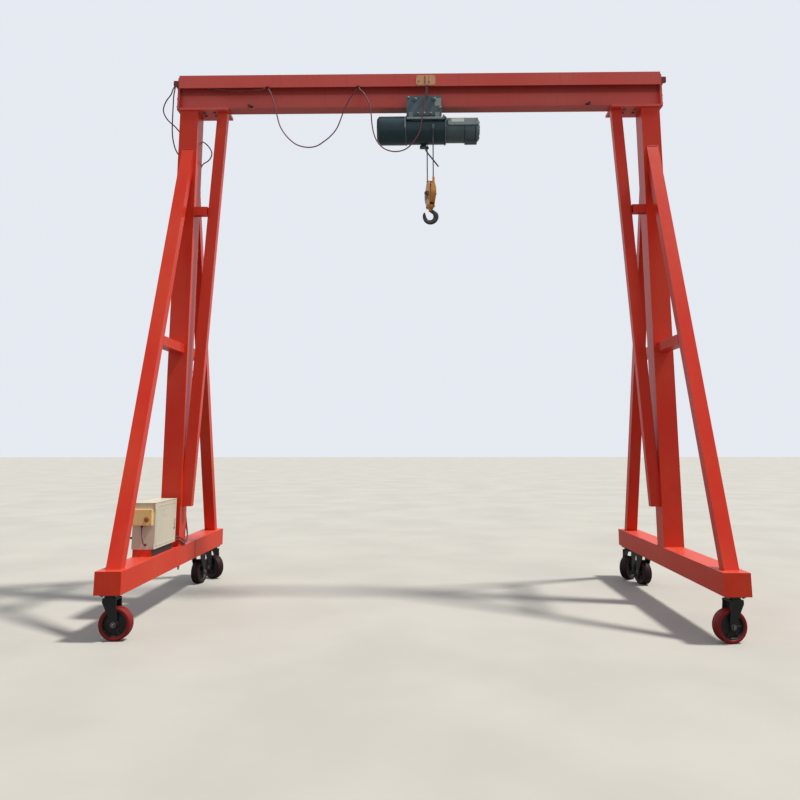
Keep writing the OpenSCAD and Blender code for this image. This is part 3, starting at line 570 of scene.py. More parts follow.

# %% [markdown]
# The web of the beam shows two tones, both painted shade. Under the cap's lips the web is darkened
# as the painted shadow of the lips. Below a level line it is paler, down to the flange that the
# wheels run on, which is darkened as painted shade on its underside. Both lines are short steps on
# the height, and the main beam has its own copy of the paint for them.

# %% Painted shade bands of the main beam
painted("web_red_painted_shade", (226, 94, 84), (230, 116, 106), primer, fade=0.45, dust=0.06, streaks=0.22, shine=0.3)
tree = looks["web_red_painted_shade"].node_tree
height = add(tree, "SeparateXYZ", {0: object_point(tree)}).outputs[2]
# painted shade: above 5.7 m the web is darkened as the lips' shadow, and below 5.52 m the flange is darkened as
# its shade
painted_lip_shadow, painted_flange_shade = stepped(tree, height, 5.688, 5.712, 0.0, 0.36), stepped(tree, height, 5.512, 5.52, 0.42, 0.0)
wanted = tree.nodes["Principled BSDF"].inputs["Base Color"]
painted_shade_red = (0.1, 0.006, 0.006, 1)
tree.links.new(mixed(tree, plus(tree, painted_lip_shadow, painted_flange_shade), wanted.links[0].from_socket, painted_shade_red), wanted)
nodes["main_beam"].material_slots[0].material = looks["web_red_painted_shade"]
print("main beam stands at", tuple(round(c, 3) for c in nodes["main_beam"].matrix_world.translation))

# %% [markdown]
# ## Floor and light
# The crane stands on a pale floor under a pale sky. Its shadows fall to the left in the photo, so
# the light comes from the right, about sixty degrees up: the inner sides of the left leg are
# bright, and the fronts of the columns are in shade. A sun lamp lights the whole height of the
# crane alike, and its wide disc keeps the shadows soft.

# %% Floor
tree, shader = new_look("floor_pale")
mottle = stepped(tree, noise(tree, object_point(tree), 0.7, 8.0), 0.3, 0.7)
tone = mixed(tree, mottle, (0.47, 0.455, 0.415, 1), (0.52, 0.505, 0.46, 1))
seen = add(tree, "LightPath").outputs["Is Camera Ray"]
feed(tree, shader, {"Base Color": mixed(tree, seen, (0.21, 0.2, 0.18, 1), tone), "Roughness": 0.85})
mesh = bpy.data.meshes.new("floor")
mesh.from_pydata([(-60, -20, 0), (60, -20, 0), (60, 90, 0), (-60, 90, 0)], [], [(0, 1, 2, 3)])
mesh.materials.append(looks["floor_pale"])
floor = in_scene("floor", mesh)

# %% Sky and sun
world = bpy.data.worlds.new("studio")
world.use_nodes = True
bpy.context.scene.world = world
tree = world.node_tree
path = add(tree, "LightPath")
shown = maths(tree, "MAXIMUM", path.outputs["Is Camera Ray"], path.outputs["Is Glossy Ray"])
shown = maths(tree, "MAXIMUM", shown, path.outputs["Is Transmission Ray"])
ambient = tree.nodes["Background"]
feed(tree, ambient, {0: (0.88, 0.92, 1.0, 1), 1: 0.47})
pale_sky = add(tree, "Background", {0: (0.79, 0.82, 0.88, 1), 1: 1.0})
choose = add(tree, "MixShader", {0: shown, 1: ambient.outputs[0], 2: pale_sky.outputs[0]})
feed(tree, tree.nodes["World Output"], {0: choose.outputs[0]})
bpy.context.scene.view_settings.view_transform = "Standard"

sun = bpy.data.lights.new("sun", "SUN")
sun.energy, sun.angle, sun.color = 3.6, math.radians(7.0), (1.0, 0.965, 0.9)
to_sun = (0.55, -0.11, 1.0)
in_scene("sun", sun).matrix_world = Matrix(basis_along(to_sun).tolist()).to_4x4()
print("sun", round(math.degrees(math.atan2(to_sun[2], math.hypot(*to_sun[:2])))), "degrees up")

# %% [markdown]
# ## Cables
# Two supply cables leave the cabinet, go round the column's foot, up its back face and out round
# its top to the beam. Two more hang in loops from flat hooks, so that the trolley can pull them
# along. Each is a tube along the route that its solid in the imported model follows. The routes are
# repeated here in millimetres, and a smooth curve through their points takes out the corners. A
# sheathed cable can't turn tighter than about four times its own width, so at the column's foot the
# lower cable swings wide and the upper one slips behind it.

# %% Cable routes
column_route_a = np.array([
    [-2590, -200, 670], [-2590, -186, 670], [-2580, -157, 669], [-2554, -131, 664],
    [-2534, -102, 653], [-2528, -60, 632], [-2528, -10, 611], [-2528.5, 30, 604], [-2529, 72, 607],
    [-2530, 107, 622], [-2531, 128, 652], [-2533, 134, 690], [-2538, 134, 740], [-2546, 132, 795],
    [-2553, 127, 850], [-2556, 118, 910], [-2556, 113, 975], [-2556, 113, 1060],
    [-2556, 113, 2700], [-2556, 113, 4680], [-2556, 113, 4800], [-2553, 114, 4860],
    [-2535, 117, 4905], [-2475, 121, 4949], [-2446, 122, 4992], [-2436, 122, 5043],
    [-2452, 122, 5088], [-2488, 122, 5139], [-2535, 122, 5178], [-2600, 121, 5204],
    [-2660, 120, 5222], [-2750, 121, 5243], [-2786, 98, 5262], [-2850, 20, 5330],
    [-2930, -30, 5400], [-2974, -45, 5500], [-2950, -45, 5610], [-2892, -43, 5705],
    [-2874, -51, 5754], [-2846, -67, 5785], [-2810, -80, 5794], [-2765, -88, 5786],
    [-2700, -92, 5772], [-2600, -92, 5762], [-2385, -92, 5742], [-2240, -92, 5716],
    [-2104, -92, 5706], [-1920, -94, 5714], [-1848, -121, 5701], [-1806, -155, 5690],
    [-1777, -180, 5685], [-1743, -196.5, 5682.7]]) / 1000
column_route_b = np.array([
    [-2582, -200, 700], [-2582, -186, 700], [-2574, -157, 699], [-2550, -130, 694],
    [-2531, -101, 683], [-2524, -60, 662], [-2523, -10, 642], [-2523, 30, 635], [-2523.5, 67, 637],
    [-2525, 98, 650.5], [-2527, 114.5, 676], [-2531, 119, 710], [-2540, 119, 751], [-2553, 117, 796],
    [-2565, 115, 841], [-2572, 113, 900], [-2572, 113, 1000], [-2572, 113, 2700],
    [-2572, 113, 4650], [-2572, 113, 4770], [-2571, 119, 4828], [-2574, 131, 4878],
    [-2589, 142, 4921], [-2618, 147, 4944], [-2660, 146, 4953], [-2712, 142, 4960],
    [-2752, 130, 4968], [-2780, 105, 4978], [-2808, 60, 5003], [-2830, 10, 5050],
    [-2850, -30, 5150], [-2860, -40, 5260], [-2864, -40, 5400], [-2864, -40, 5600],
    [-2866, -32, 5690], [-2867, -8, 5770], [-2867, 0, 5796], [-2867, 0, 5821.7]]) / 1000
loop_route_1 = np.array([
    [-1722, 5689.7], [-1722, 5676], [-1698, 5640], [-1655, 5523], [-1618, 5378], [-1571, 5221],
    [-1494, 5103], [-1393, 5012], [-1300, 4978], [-1225, 4972], [-1147, 4990], [-1065, 5046],
    [-1000, 5102], [-932, 5190], [-880, 5322], [-850, 5414], [-776, 5568], [-716, 5646],
    [-700, 5676], [-700, 5689.7]]) / 1000
loop_route_2 = np.array([
    [-682, 5689.7], [-682, 5676], [-668, 5652], [-629, 5612], [-570, 5495], [-540, 5365], [-530, 5249],
    [-508, 5127], [-466, 5024], [-394, 4946], [-325, 4915], [-255, 4906], [-190, 4917], [-130, 4946],
    [-50, 5032], [10, 5145], [36, 5285], [60, 5444], [76, 5567], [88, 5632], [93, 5676],
    [93, 5689.7]]) / 1000
loop_route_1 = np.insert(loop_route_1, 1, -0.1965, axis=1)
loop_route_2 = np.insert(loop_route_2, 1, -0.2155, axis=1)
cable_radius = 0.007

# %% Cable pieces
def cable(name, route, body, bends=None, hides=None, radius=cable_radius, step=0.02):
    """A tube along the smooth route."""
    path = even_path(route, step)
    thing = make_object(name, tube(path, radius), "cable_dark", body, smooth=True)
    if bends:
        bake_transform(thing)
    if hides:
        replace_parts(thing, hides)

cable("column_cable_a", column_route_a, "frame", hides="supply_cable")
cable("column_cable_b", column_route_b, "frame")
# The first loop ends on the middle hook, which moves 0.52 as far as the trolley: the last point
# given in bends lies past that hook, at the place where its smooth step has reached 0.52 there.
cable("festoon_loop_1", loop_route_1, None,
      ("frame", "trolley", (-1.731, 0, 5.3), (0.295, 0, 5.3)), "cable_loop_1")
cable("festoon_loop_2", loop_route_2, None,
      ("carrier", "trolley", (-0.691, 0, 5.3), (0.093, 0, 5.3)), "cable_loop_2")

# %% [markdown]
# ## Casters
# A swivel caster of this size is a bent and welded fork under a ball race, with a cast-iron wheel
# that carries a moulded polyurethane tread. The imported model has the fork, core and tread as turned
# and cut solids. The lesson replaces the tread with one whose shoulders are rounded and whose
# running face has two shallow wear grooves, and adds the seals, ribs, nuts, axle ends and welds.
# All six casters share one set of shapes: each is built once about the swivel axis and then turned
# and moved to its place.

# %% Caster places
leg_x, trail, axle_z = 2.65, 0.045, 0.14
single_y, inner_y, outer_y, stagger = -1.48, 1.048, 1.45, 0.025
casters = {"fl": (-leg_x, single_y, 0), "fr": (leg_x, single_y, 190),
           "bl_in": (-leg_x - stagger, inner_y, 81), "bl_out": (-leg_x + stagger, outer_y, 324),
           "br_in": (leg_x + stagger, inner_y, 105), "br_out": (leg_x - stagger, outer_y, 223)}

# %% Wheel shapes
def on_axle(piece, turn=to_front):
    """A shape turned about Z, laid onto the wheel's axle, which runs along Y."""
    return placed(piece, turn, (trail, 0, axle_z))


def on_both_faces(piece):
    """A shape that stands on the wheel's middle plane, and its like on the other side."""
    return [on_axle(placed(piece, way)) for way in (upright, to_floor)]

shoulder = np.array([
    (0.1075, 0.043), (0.113, 0.0465), (0.126, 0.047), (0.1315, 0.0455), (0.136, 0.042), (0.1388, 0.0365),
    (0.1398, 0.03), (0.14, 0.0225), (0.1388, 0.0213), (0.1388, 0.0187), (0.14, 0.0175)])
tread_shape = on_axle(turned_ring(np.concatenate([shoulder * (1, -1), shoulder[::-1]]), 72))
rib = slab([(0.034, -0.004), (0.094, -0.003), (0.094, 0.003), (0.034, 0.004)], 0.011, 0.0012)
ribs = [p for k in range(6) for p in on_both_faces(placed(rib, around_z(60 * k), (0, 0, 0.027)))]
wheel_iron = joined(ribs + on_both_faces(flat_ring(0.0335, 0.0375, 0.03, 0.041)))
wheel_seals = joined(on_both_faces(flat_ring(0.0135, 0.029, 0.049, 0.0514)))

# %% Fork fittings
kingpin = placed(bolt(0.02), to_floor, (0, 0, 0.34))
washer = flat_ring(0.0165, 0.0225, 0.063, 0.0655)
axle_end = lathe([(0.0098, 0.066), (0.0098, 0.0755), (0.0085, 0.0775), (0.004, 0.0778), (0.003, 0.0765)], 24)
nipple = lathe([(0.0036, 0.077), (0.0036, 0.08), (0.0024, 0.0815), (0.003, 0.0835), (0.0018, 0.0855)], 12)
fork_steel = joined([kingpin] + [on_axle(p, side) for p in (washer, axle_end) for side in (to_front, to_back)]
                    + [on_axle(nipple)])
seal_z = 0.3555
race_seal = turned_ring([(0.0605, seal_z), (0.0645, seal_z + 0.001), (0.066, seal_z + 0.003),
                         (0.0645, seal_z + 0.005), (0.0605, seal_z + 0.006)], 48)
crown_welds = joined([weld((-0.056, y, 0.3395), (0.056, y, 0.3395), 0.004) for y in (-0.0525, 0.0525)])
corners = list(product((-0.063, 0.063), (-0.063, 0.063), (0.378,)))

# %% Dress all six casters
for name, (x, y, degrees) in casters.items():
    wheel, caster = "wheel_" + name, "caster_" + name
    rolled = "tread_red" if name in ("fl", "fr") else "tread_dark"
    for kind, shape, look, body, slot, smooth in (
            ("tread_", tread_shape, rolled, wheel, "tread_red", True),
            ("core_ribs_", wheel_iron, "core_black", wheel, None, False),
            ("hub_seals_", wheel_seals, "bolt_steel", wheel, "rope_steel", False),
            ("axle_fittings_", fork_steel, "bolt_steel", caster, "rope_steel", False),
            ("race_seal_", race_seal, "dark_rubber", caster, "caster_black", True),
            ("crown_welds_", crown_welds, "caster_black", caster, None, True)):
        thing = make_object(kind + name, placed(shape, around_z(degrees), (x, y, 0)), look, body, slot, smooth)
        if shape is tread_shape:
            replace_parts(thing, "tyre_" + name)
plate_bolts = joined(bolts(0.012, to_floor, corners))
make_object("caster_plate_bolts", copies(plate_bolts, upright, [(x, y, 0) for x, y, _ in casters.values()]),
            "bolt_steel", "frame", "caster_black")
print("dressed", len(casters), "casters")

# %% [markdown]
# ## Ropes
# The hoist lifts with one wire rope: a fall leaves the drum, goes half round the sheave in the
# block and comes up to a lug on the hoist. A wire rope's outline has six strands that wind round
# it, so each ring of the tube has six soft lobes, and the lobes turn as the rings go along. The half
# turn on the sheave belongs to the block.

# %% Ropes and rope turn
rope_radius, lay_length, rope_row = 0.0068, 0.055, 0.0045


def stranded(path, around=18):
    """A tube whose radius is the rope's times 0.91 plus 0.09 times the cosine of six times the
    angle, where the angle runs on by a full turn in each lay length."""
    lobes = np.cos(6 * (full_turn(around) - 2 * np.pi * run_along(path)[:, None] / lay_length))
    return tube(path, rope_radius * (0.91 + 0.09 * lobes), around)

block_x, block_y, sheave_z, sheave_r, block_turn = 0.13, -0.059, 4.47, 0.123, 15.0
outward = around_z(block_turn)[:, 1]
block_axis = np.array([block_x, block_y, sheave_z])
drum_fall, anchor_fall = block_axis + sheave_r * outward, block_axis - sheave_r * outward
for name, foot, top, gone in (("drum_rope", drum_fall, 5.098, "rope_fall"),
                              ("lug_rope", anchor_fall, 5.237, "rope_anchored")):
    heights = np.linspace(top, sheave_z, int((top - sheave_z) / rope_row))[:, None]
    line = foot * (1, 1, 0) + heights * (0, 0, 1)
    rope = make_object(name, stranded(line), "rope_steel", None, smooth=True)
    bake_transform(rope)
    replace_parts(rope, gone)
half_turn = np.linspace(0, np.pi, 110)[:, None]
bend = block_axis + sheave_r * (np.cos(half_turn) * outward - np.sin(half_turn) * (0, 0, 1))
make_object("sheave_rope", stranded(bend), "rope_steel", "block", smooth=True)
print("rope falls at", drum_fall.round(4), anchor_fall.round(4))

# %% [markdown]
# ## Hook block and hook
# The block's cheeks and sheave come from the imported model. Added are its dark end plates on the
# pin, the pin's nuts, the clamp bolts, the bent plates that guard the sheave, and a thin sleeve
# that stands up round the fixed fall. The hook is a forging: its section is deepest at the bottom of the bowl,
# thins towards the point, and turns round into the shank. It is an ellipse carried along a given centreline, with
# its own depth and width at each point. The photo shows no latch, and there is none here.

# %% Block fittings
def in_block(piece):
    """A piece drawn about the sheave's centre, with local X along the pin, in the block's place."""
    return placed(piece, around_z(block_turn), block_axis)


def on_cheeks(piece, reach, places=((0, 0),)):
    """The piece at each place on both sides of the block, this far along the pin."""
    return [in_block(placed(piece, side, (reach * s, y, z))) for side, s in left_and_right for y, z in places]

clamp_places = (0, 0.139), (-0.031, -0.157), (0.031, -0.157)
nuts = on_cheeks(bolt(0.02), 0.0525)
clamp = on_cheeks(bolt(0.012), 0.033, clamp_places)
make_object("block_bolts", nuts + clamp, "bolt_steel", "block", "hook_steel")
end_plate = slab(rounded_outline(0.06, 0.098, 0.012), 0.006, 0.001)
make_object("pin_plates", on_cheeks(end_plate, 0.0465, ((0, -0.026),)), "amber_dark", "block", "hook_steel")
sleeve = placed(flat_ring(0.0078, 0.0115, 4.545, 4.632, 24), move=anchor_fall * (1, 1, 0))
stay = in_block(block((-0.012, -0.137, 0.076), (0.012, -0.1335, 0.15), 0.001))
make_object("rope_sleeve", [sleeve, stay], "block_amber", "block")


def guard(side, top, reach=0.1365, half_width=0.03, half_thick=0.002):
    """A bent plate round the sheave: from under it, along an arc about the pin to the level of the
    pin, then straight up. The long plate is drawn in to a point, the short one ends at a slant.
    Each row is the plate's section: its half width each way along the pin, and half its thickness
    each way across."""
    angle, rise = np.radians(np.linspace(27, 90, 22)), np.linspace(0.008, top, 14)
    arc = np.column_stack([side * np.sin(angle), -np.cos(angle)])
    path = np.concatenate([arc * reach, np.column_stack([np.full(14, side * reach), rise])])
    out = np.concatenate([arc, np.tile([side, 0.0], (14, 1))]) * half_thick
    left, right = (np.append(np.full(22, half_width),
                             np.interp(rise, [0.0, knee, top], [half_width, 0.028, 0.002]))
                   for knee in (0.04, 0.03))
    order = [(-left, 1), (right, 1), (right, -1), (-left, -1)][::-side]
    rows = np.stack([np.column_stack([x, path + s * out]) for x, s in order], 1)
    return in_block((rows.reshape(-1, 3), tube_faces(len(path), 4)))

make_object("sheave_guards", [guard(-1, 0.125), guard(1, 0.03)], "block_amber", "block")
spacer = in_block(placed(lathe([(0.011, -0.0235), (0.011, 0.0235)]), to_right, (0, 0, 0.139)))
rib_edge = [in_block(weld((x, y * 0.046, -0.1405), (x, y * 0.006, -0.1405), 0.003))
            for x, y in product((-0.023, 0.023), (-1, 1))]
make_object("block_spacer", [spacer] + rib_edge, "block_amber", "block", smooth=True)

# %% Forged hook
centre = np.array([(-68, 46), (-70, 14), (-60, -29), (-35, -57), (0, -66), (32, -55), (55, -29),
                   (62, 3), (54, 33), (33, 53), (12, 64), (2, 75), (0, 88)]) / 1000
depth = np.array([8, 18, 22.5, 25, 26, 27.5, 29, 30, 28, 24, 20, 18, 17]) / 1000
width = np.array([5, 10, 14, 17, 19, 19.5, 19.5, 19, 18.5, 18, 18, 18, 17]) / 1000
line = even_path(np.insert(centre, 1, 0.0, axis=1), 0.004)
given_at = run_along(centre) / run_along(centre)[-1]
a, b = (np.interp(np.linspace(0, 1, len(line)), given_at, v)[:, None, None] for v in (depth, width))
ahead_of = unit(np.gradient(line, axis=0))
sideways = np.array([0.0, 1.0, 0.0])
psi = -full_turn(28)[None, :, None]
rings = (line[:, None] + a * np.cos(psi) * np.cross(ahead_of, sideways)[:, None]
         + b * np.sin(psi) * (1 - 0.16 * np.cos(psi)) * sideways)
points = np.concatenate([rings.reshape(-1, 3), line[:1] - ahead_of[:1] * 0.004])
sides, _, far_face = tube_faces(len(line), 28)
fan = np.column_stack([np.roll(np.arange(28), -1), np.arange(28), np.full(28, len(points) - 1)])
forging = placed((points, [sides, far_face, fan]), move=(block_x, block_y, 4.195))
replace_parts(make_object("forged_hook", forging, "hook_steel", "hook", smooth=True), "hook")
shank = lathe([(0.02, 4.256), (0.0215, 4.259), (0.0195, 4.272), (0.0182, 4.2838), (0.031, 4.2842),
               (0.032, 4.2852), (0.032, 4.2947), (0.031, 4.2957), (0.018, 4.2957), (0.018, 4.322)], 40)
make_object("hook_shank", placed(shank, move=(block_x, block_y, 0)), "block_amber", "hook", "hook_steel")
print("hook points", len(points))

# %% [markdown]
# ## Hoist
# The hoist is a bought machine: a motor on the left, a drum in a sheet housing, and a gear case on
# the right with the electrics in a flat box in front of it. What makes it read as a machine are its
# joints: the rings where housings meet, the bolts round them, the cowl over the motor's fan, the
# pale cover on the electrics, and the rod of the lifting limit that hangs below the drum. Housings
# are turned about the drum's axis, so their rings and bolt circles are too.

# %% Rings, cowl and bolts of the hoist
hoist_z, fan_x, drum_x0, drum_x1, gear_x = 5.247, -0.4752, -0.149, 0.308, 0.694


def on_drum(piece, x, side=to_right):
    """A shape turned about Z, laid along the drum's axis with its foot at x."""
    return placed(piece, side, (x, 0, hoist_z))


def bolt_circle(size, x, radius, count, start=0.0):
    angle = start + full_turn(count)
    return bolts(size, to_right, [(x, radius * math.cos(a), hoist_z + radius * math.sin(a)) for a in angle])

motor_rings = [on_drum(flat_ring(0.162, 0.165, 0, 0.004, 96), x) for x in (-0.425, -0.215)]
make_object("motor_rings", motor_rings, "hoist_teal", "trolley")
cowl = [flat_ring(r, r + 0.004, 0, 0.004, 64) for r in (0.03, 0.056, 0.082, 0.108, 0.13)]
cowl += [placed(block((-0.003, 0.012, 0), (0.003, 0.134, 0.003), 0.0006), around_z(45 * k)) for k in range(8)]
cowl.append(lathe([(0.02, 0), (0.02, 0.004), (0.015, 0.007), (0.004, 0.0075)], 32))
make_object("fan_cowl", [on_drum(p, fan_x, to_left) for p in cowl], "hoist_teal", "trolley")
hoist_bolts = bolt_circle(0.009, drum_x1, 0.1535, 12, 0.13) + bolt_circle(0.01, gear_x, 0.094, 8)
hoist_bolts += [placed(bolt(0.014), side, (x, y, 5.326))
                for y in (-0.162, 0.162) for side, x in ((to_right, drum_x1), (to_left, drum_x0))]
make_object("hoist_bolts", hoist_bolts, "bolt_steel", "trolley", "rope_steel")
# painted highlight: thin pale rings at the shields' edges stand in for the bright line of light along them
painted_highlight_rims = [on_drum(flat_ring(0.1655, 0.1672, 0.0, 0.0035, 96), x) for x in (drum_x1 - 0.003, drum_x0)]
tab_strip = block((-0.1615, -0.176, 5.212), (-0.1495, -0.169, 5.334), 0.001)
lug = slab([(-0.011, -0.013), (0.011, -0.013), (0.011, 0.008), (0.006, 0.016), (-0.006, 0.016),
            (-0.011, 0.008)], 0.01, 0.001)
lug = placed(lug, to_front, (0.284, -0.156, 5.353))
bar_face = block((-0.133, -0.1775, 5.3135), (0.279, -0.1758, 5.3385), 0.0006)
make_object("shield_highlight_rims_and_strips", painted_highlight_rims + [tab_strip, lug, bar_face], "strip_grey", "trolley", "trolley_grey")
gear_rings = [on_drum(flat_ring(0.1412, 0.145, 0, 0.01, 96), x) for x in (0.52, 0.642)]
sump = block((0.53, -0.052, 5.094), (0.672, 0.052, 5.12), 0.004)
gear_cap = on_drum(lathe([(0.078, 0), (0.078, 0.004), (0.072, 0.006), (0.03, 0.0065), (0.026, 0.012),
                          (0.01, 0.013)], 48), gear_x)
make_object("gear_fittings", gear_rings + [sump, gear_cap], "hoist_teal", "trolley")
print("bolts on the hoist:", len(hoist_bolts))

# %% Electrics cover, rope guide and limit rod
def plate_on(centre, width, height, radius, thickness, edge, side=to_front):
    """A thin plate with round corners, laid on the face that has this point and faces this way."""
    return placed(slab(rounded_outline(width, height, radius), thickness, edge), side, centre)

cover_y = -0.157
make_object("electrics_cover", plate_on((0.507, cover_y + 0.005, 5.29), 0.341, 0.08, 0.008, 0.005, 0.0015),
            "strip_grey", "trolley", "trolley_grey")
make_object("electrics_label", plate_on((0.4455, cover_y, 5.303), 0.142, 0.04, 0.003, 0.0012, 0.0004),
            "label_white", "trolley", "cabinet_cream")
gland = lathe([(0.015, 0), (0.015, 0.009), (0.0125, 0.01), (0.0125, 0.018), (0.01, 0.024),
               (0.0085, 0.025)], 24)
cover_screws = bolts(0.006, to_front, product((0.35, 0.664), (cover_y,), (5.26, 5.32)))
box_gland = placed(gland, to_floor, (0.345, -0.125, 5.243))
make_object("cover_screws", cover_screws + [box_gland], "bolt_steel", "trolley", "rope_steel")
fork_plate = slab([(0.018, 0.03), (0.116, 0.03), (0.116, 0.05), (0.089, 0.05), (0.087, 0.0598),
                   (0.089, 0.0696), (0.116, 0.0696), (0.116, 0.09), (0.018, 0.09)], 0.01, 0.001)
wedge = slab([(0.012, 5.0595), (0.03, 5.0595), (0.03, 5.098), (0.012, 5.072)], 0.048)
make_object("rope_guide", [placed(fork_plate, move=(0, 0, 5.06)), placed(wedge, to_front, (0, 0.078, 0))],
            "hoist_teal", "trolley")
limit_path = even_path([(0.07, 0.026, 5.06), (0.08, 0.026, 5.03), (0.092, 0.028, 5.005),
                        (0.16, 0.029, 4.914), (0.227, 0.03, 4.824)], 0.01)
make_object("limit_rod", tube(limit_path, 0.0085, 14), "trolley_grey", "trolley", smooth=True)
socket = lathe([(0.0085, 5.19), (0.0125, 5.193), (0.0165, 5.228), (0.0165, 5.2372)], 28)
socket_pin = placed(lathe([(0.009, -0.026), (0.009, 0.026)]), to_front, (0, 0, 5.216))
socket = placed(joined([socket, socket_pin]), move=anchor_fall * (1, 1, 0))
make_object("rope_socket", socket, "trolley_grey", "trolley")

# %% Trolley plates
plate_front = 0.131
axle_cap = lathe([(0.03, 0), (0.03, 0.004), (0.024, 0.007), (0.024, 0.013), (0.02, 0.016), (0.012, 0.0165),
                  (0.011, 0.022), (0.004, 0.0225)], 36)
caps = [placed(axle_cap, side, (x, s * plate_front, 5.5683))
        for side, s in front_and_back for x in (-0.049, 0.173)]
make_object("axle_caps", caps, "trolley_grey", "trolley")
tie_places = (-0.01, 5.402), (0.062, 5.402), (0.134, 5.402), (-0.118, 5.596), (0.244, 5.47)
tie_nuts = [placed(bolt(0.014), side, (x, s * plate_front, z))
            for side, s in front_and_back for x, z in tie_places]
make_object("plate_bolts", tie_nuts, "bolt_steel", "trolley", "rope_steel")
blank = plate_on((0.221, -plate_front, 5.538), 0.072, 0.092, 0.004, 0.0014, 0.0005)
make_object("trolley_plate_label", blank, "strip_grey", "trolley", "trolley_grey")
plate_welds = [weld((x + e, y, 5.3745), (x + e, y, 5.409), 0.003)
               for y, x, e in product((0.1325, -0.1325), (-0.088, 0.212), (-0.026, 0.026))]
make_object("trolley_welds", plate_welds, "trolley_grey", "trolley", smooth=True)
print("nuts on the trolley's plates:", len(tie_nuts))

# %% [markdown]
# ## Welds and bolts of the portal
# The portal is welded in the shop into legs and a beam and bolted together on the site. So there is
# a bead round the foot and head of every brace, tie and strut, and bolts only at the head plates,
# on the beam's ends and under the caster plates. The beads are painted with the frame, so they take
# its red.

# %% Portal welds
foot_z, head_z, brace_top, half_col, half_brace = 0.585, 5.472, 5.0, 0.105, 0.065
brace_foot, brace_thick, tie_z = 1.5, 0.1, (2.6465, 2.7435)
strut_in, strut_out, strut_y, strut_foot = 2.214, 2.332, (-0.066, 0.01), 1.0
column_in, upper_y, upper_z = leg_x - half_col, (-0.105, -0.029), (4.2165, 4.3135)
lean = (brace_foot - half_col) / (brace_top - foot_z)
strut_lean = (2.443 - strut_in) / (head_z - strut_foot)
beads = []
for s in (-1, 1):
    x0, x1, face, col = s * leg_x - half_brace, s * leg_x + half_brace, s * column_in, s * leg_x
    beads += [weld_round(rect(col - half_col, col + half_col, -half_col, half_col, z), 0.0055)
              for z in (foot_z, head_z)]
    for w in (-1, 1):
        at_column, inner = (half_col * w, half_col * w), brace_foot - brace_thick
        beads.append(weld_round(rect(x0, x1, inner * w, brace_foot * w, foot_z), 0.005))
        brace_z = brace_top - brace_thick / lean, brace_top
        beads.append(weld_round(rect(x0, x1, *at_column, *brace_z), 0.005))
        at_brace = [w * (inner - lean * (z - foot_z)) for z in tie_z]
        beads += [weld_round(rect(x0, x1, *ends, *tie_z), 0.0045) for ends in (at_column, at_brace)]
    beads.append(weld_round(rect(s * strut_in, s * strut_out, *strut_y, head_z), 0.0045))
    entry = head_z - (column_in - strut_out) / strut_lean
    beads += [weld((face, y, strut_foot), (face, y, entry), 0.0045) for y in strut_y]
    beads.append(weld((face, strut_y[0], strut_foot), (face, strut_y[1], strut_foot), 0.0045))
    (y0, y1), (z0, z1) = upper_y, upper_z
    beads.append(weld_round([(face, y0, z0), (face, y1, z0), (face, y1, z1), (face, y0, z1)], 0.0045))
    low, high = ((s * (strut_out + strut_lean * (head_z - z)), strut_y[0], z) for z in upper_z)
    beads += [weld(low, (low[0], y1, z0), 0.004), weld(high, (high[0], y1, z1), 0.004), weld(low, high, 0.004)]
make_object("portal_welds", beads, "frame_red", "frame", smooth=True)

# %% Beam welds and bolts
stop_x, end_x = 1.96, 2.809
stitches = [weld((x - 0.03, y, 5.8905), (x + 0.03, y, 5.8905), 0.004)
            for x in np.arange(-leg_x, 2.66, 0.265) for y in (-0.07, 0.07)]
stops = [weld((s * (stop_x + e), w * 0.008, 5.517), (s * (stop_x + e), w * 0.066, 5.517), 0.0035)
         for s, e, w in product((-1, 1), (0.0, 0.024), (-1, 1))]
brackets = [weld((s * (end_x + 0.0005), y, 5.746), (s * (end_x + 0.0005), y, 5.882), 0.0035)
            for s in (-1, 1) for y in (-0.0205, 0.0205)]
make_object("beam_welds", stitches + stops + brackets, "beam_red", "frame", smooth=True)
bolt_y = (-0.043, 0.043)
beam_bolts = []
for way, xs, z in ((upright, (2.29, 2.375, 2.495), 5.516), (to_floor, (2.375, 2.495), head_z)):
    for s in (-1, 1):
        beam_bolts += bolts(0.018, way, product(np.multiply(s, xs), bolt_y, (z,)))
for side, s in left_and_right:
    beam_bolts += bolts(0.012, side, product((s * end_x,), (-0.048, 0.048), (5.545, 5.64)))
make_object("beam_bolts", beam_bolts, "bolt_steel", "frame", "bracket_dark")
buffer = lathe([(0.02, 0), (0.02, 0.004), (0.0165, 0.006), (0.0165, 0.024), (0.013, 0.029),
                (0.005, 0.031)], 28)
buffers = [placed(buffer, side, (-s * stop_x, y, 5.541))
           for side, s in left_and_right[::-1] for y in (-0.036, 0.036)]
make_object("stop_buffers", buffers, "dark_rubber", "frame", "bracket_dark", smooth=True)
print("beads:", len(beads + stitches + stops + brackets))

# %% [markdown]
# ## Fittings of the beam and the left leg
# The tan plate in the middle of the beam carries two bolts, four corner screws, a dark bar and a
# gap between its two halves. The supply cables are held to the back of the left column by bent saddles, one every
# seventy centimetres, and hung under the cap's lip by small ties. Each saddle is one closed outline
# drawn in plan and carried a short way up.

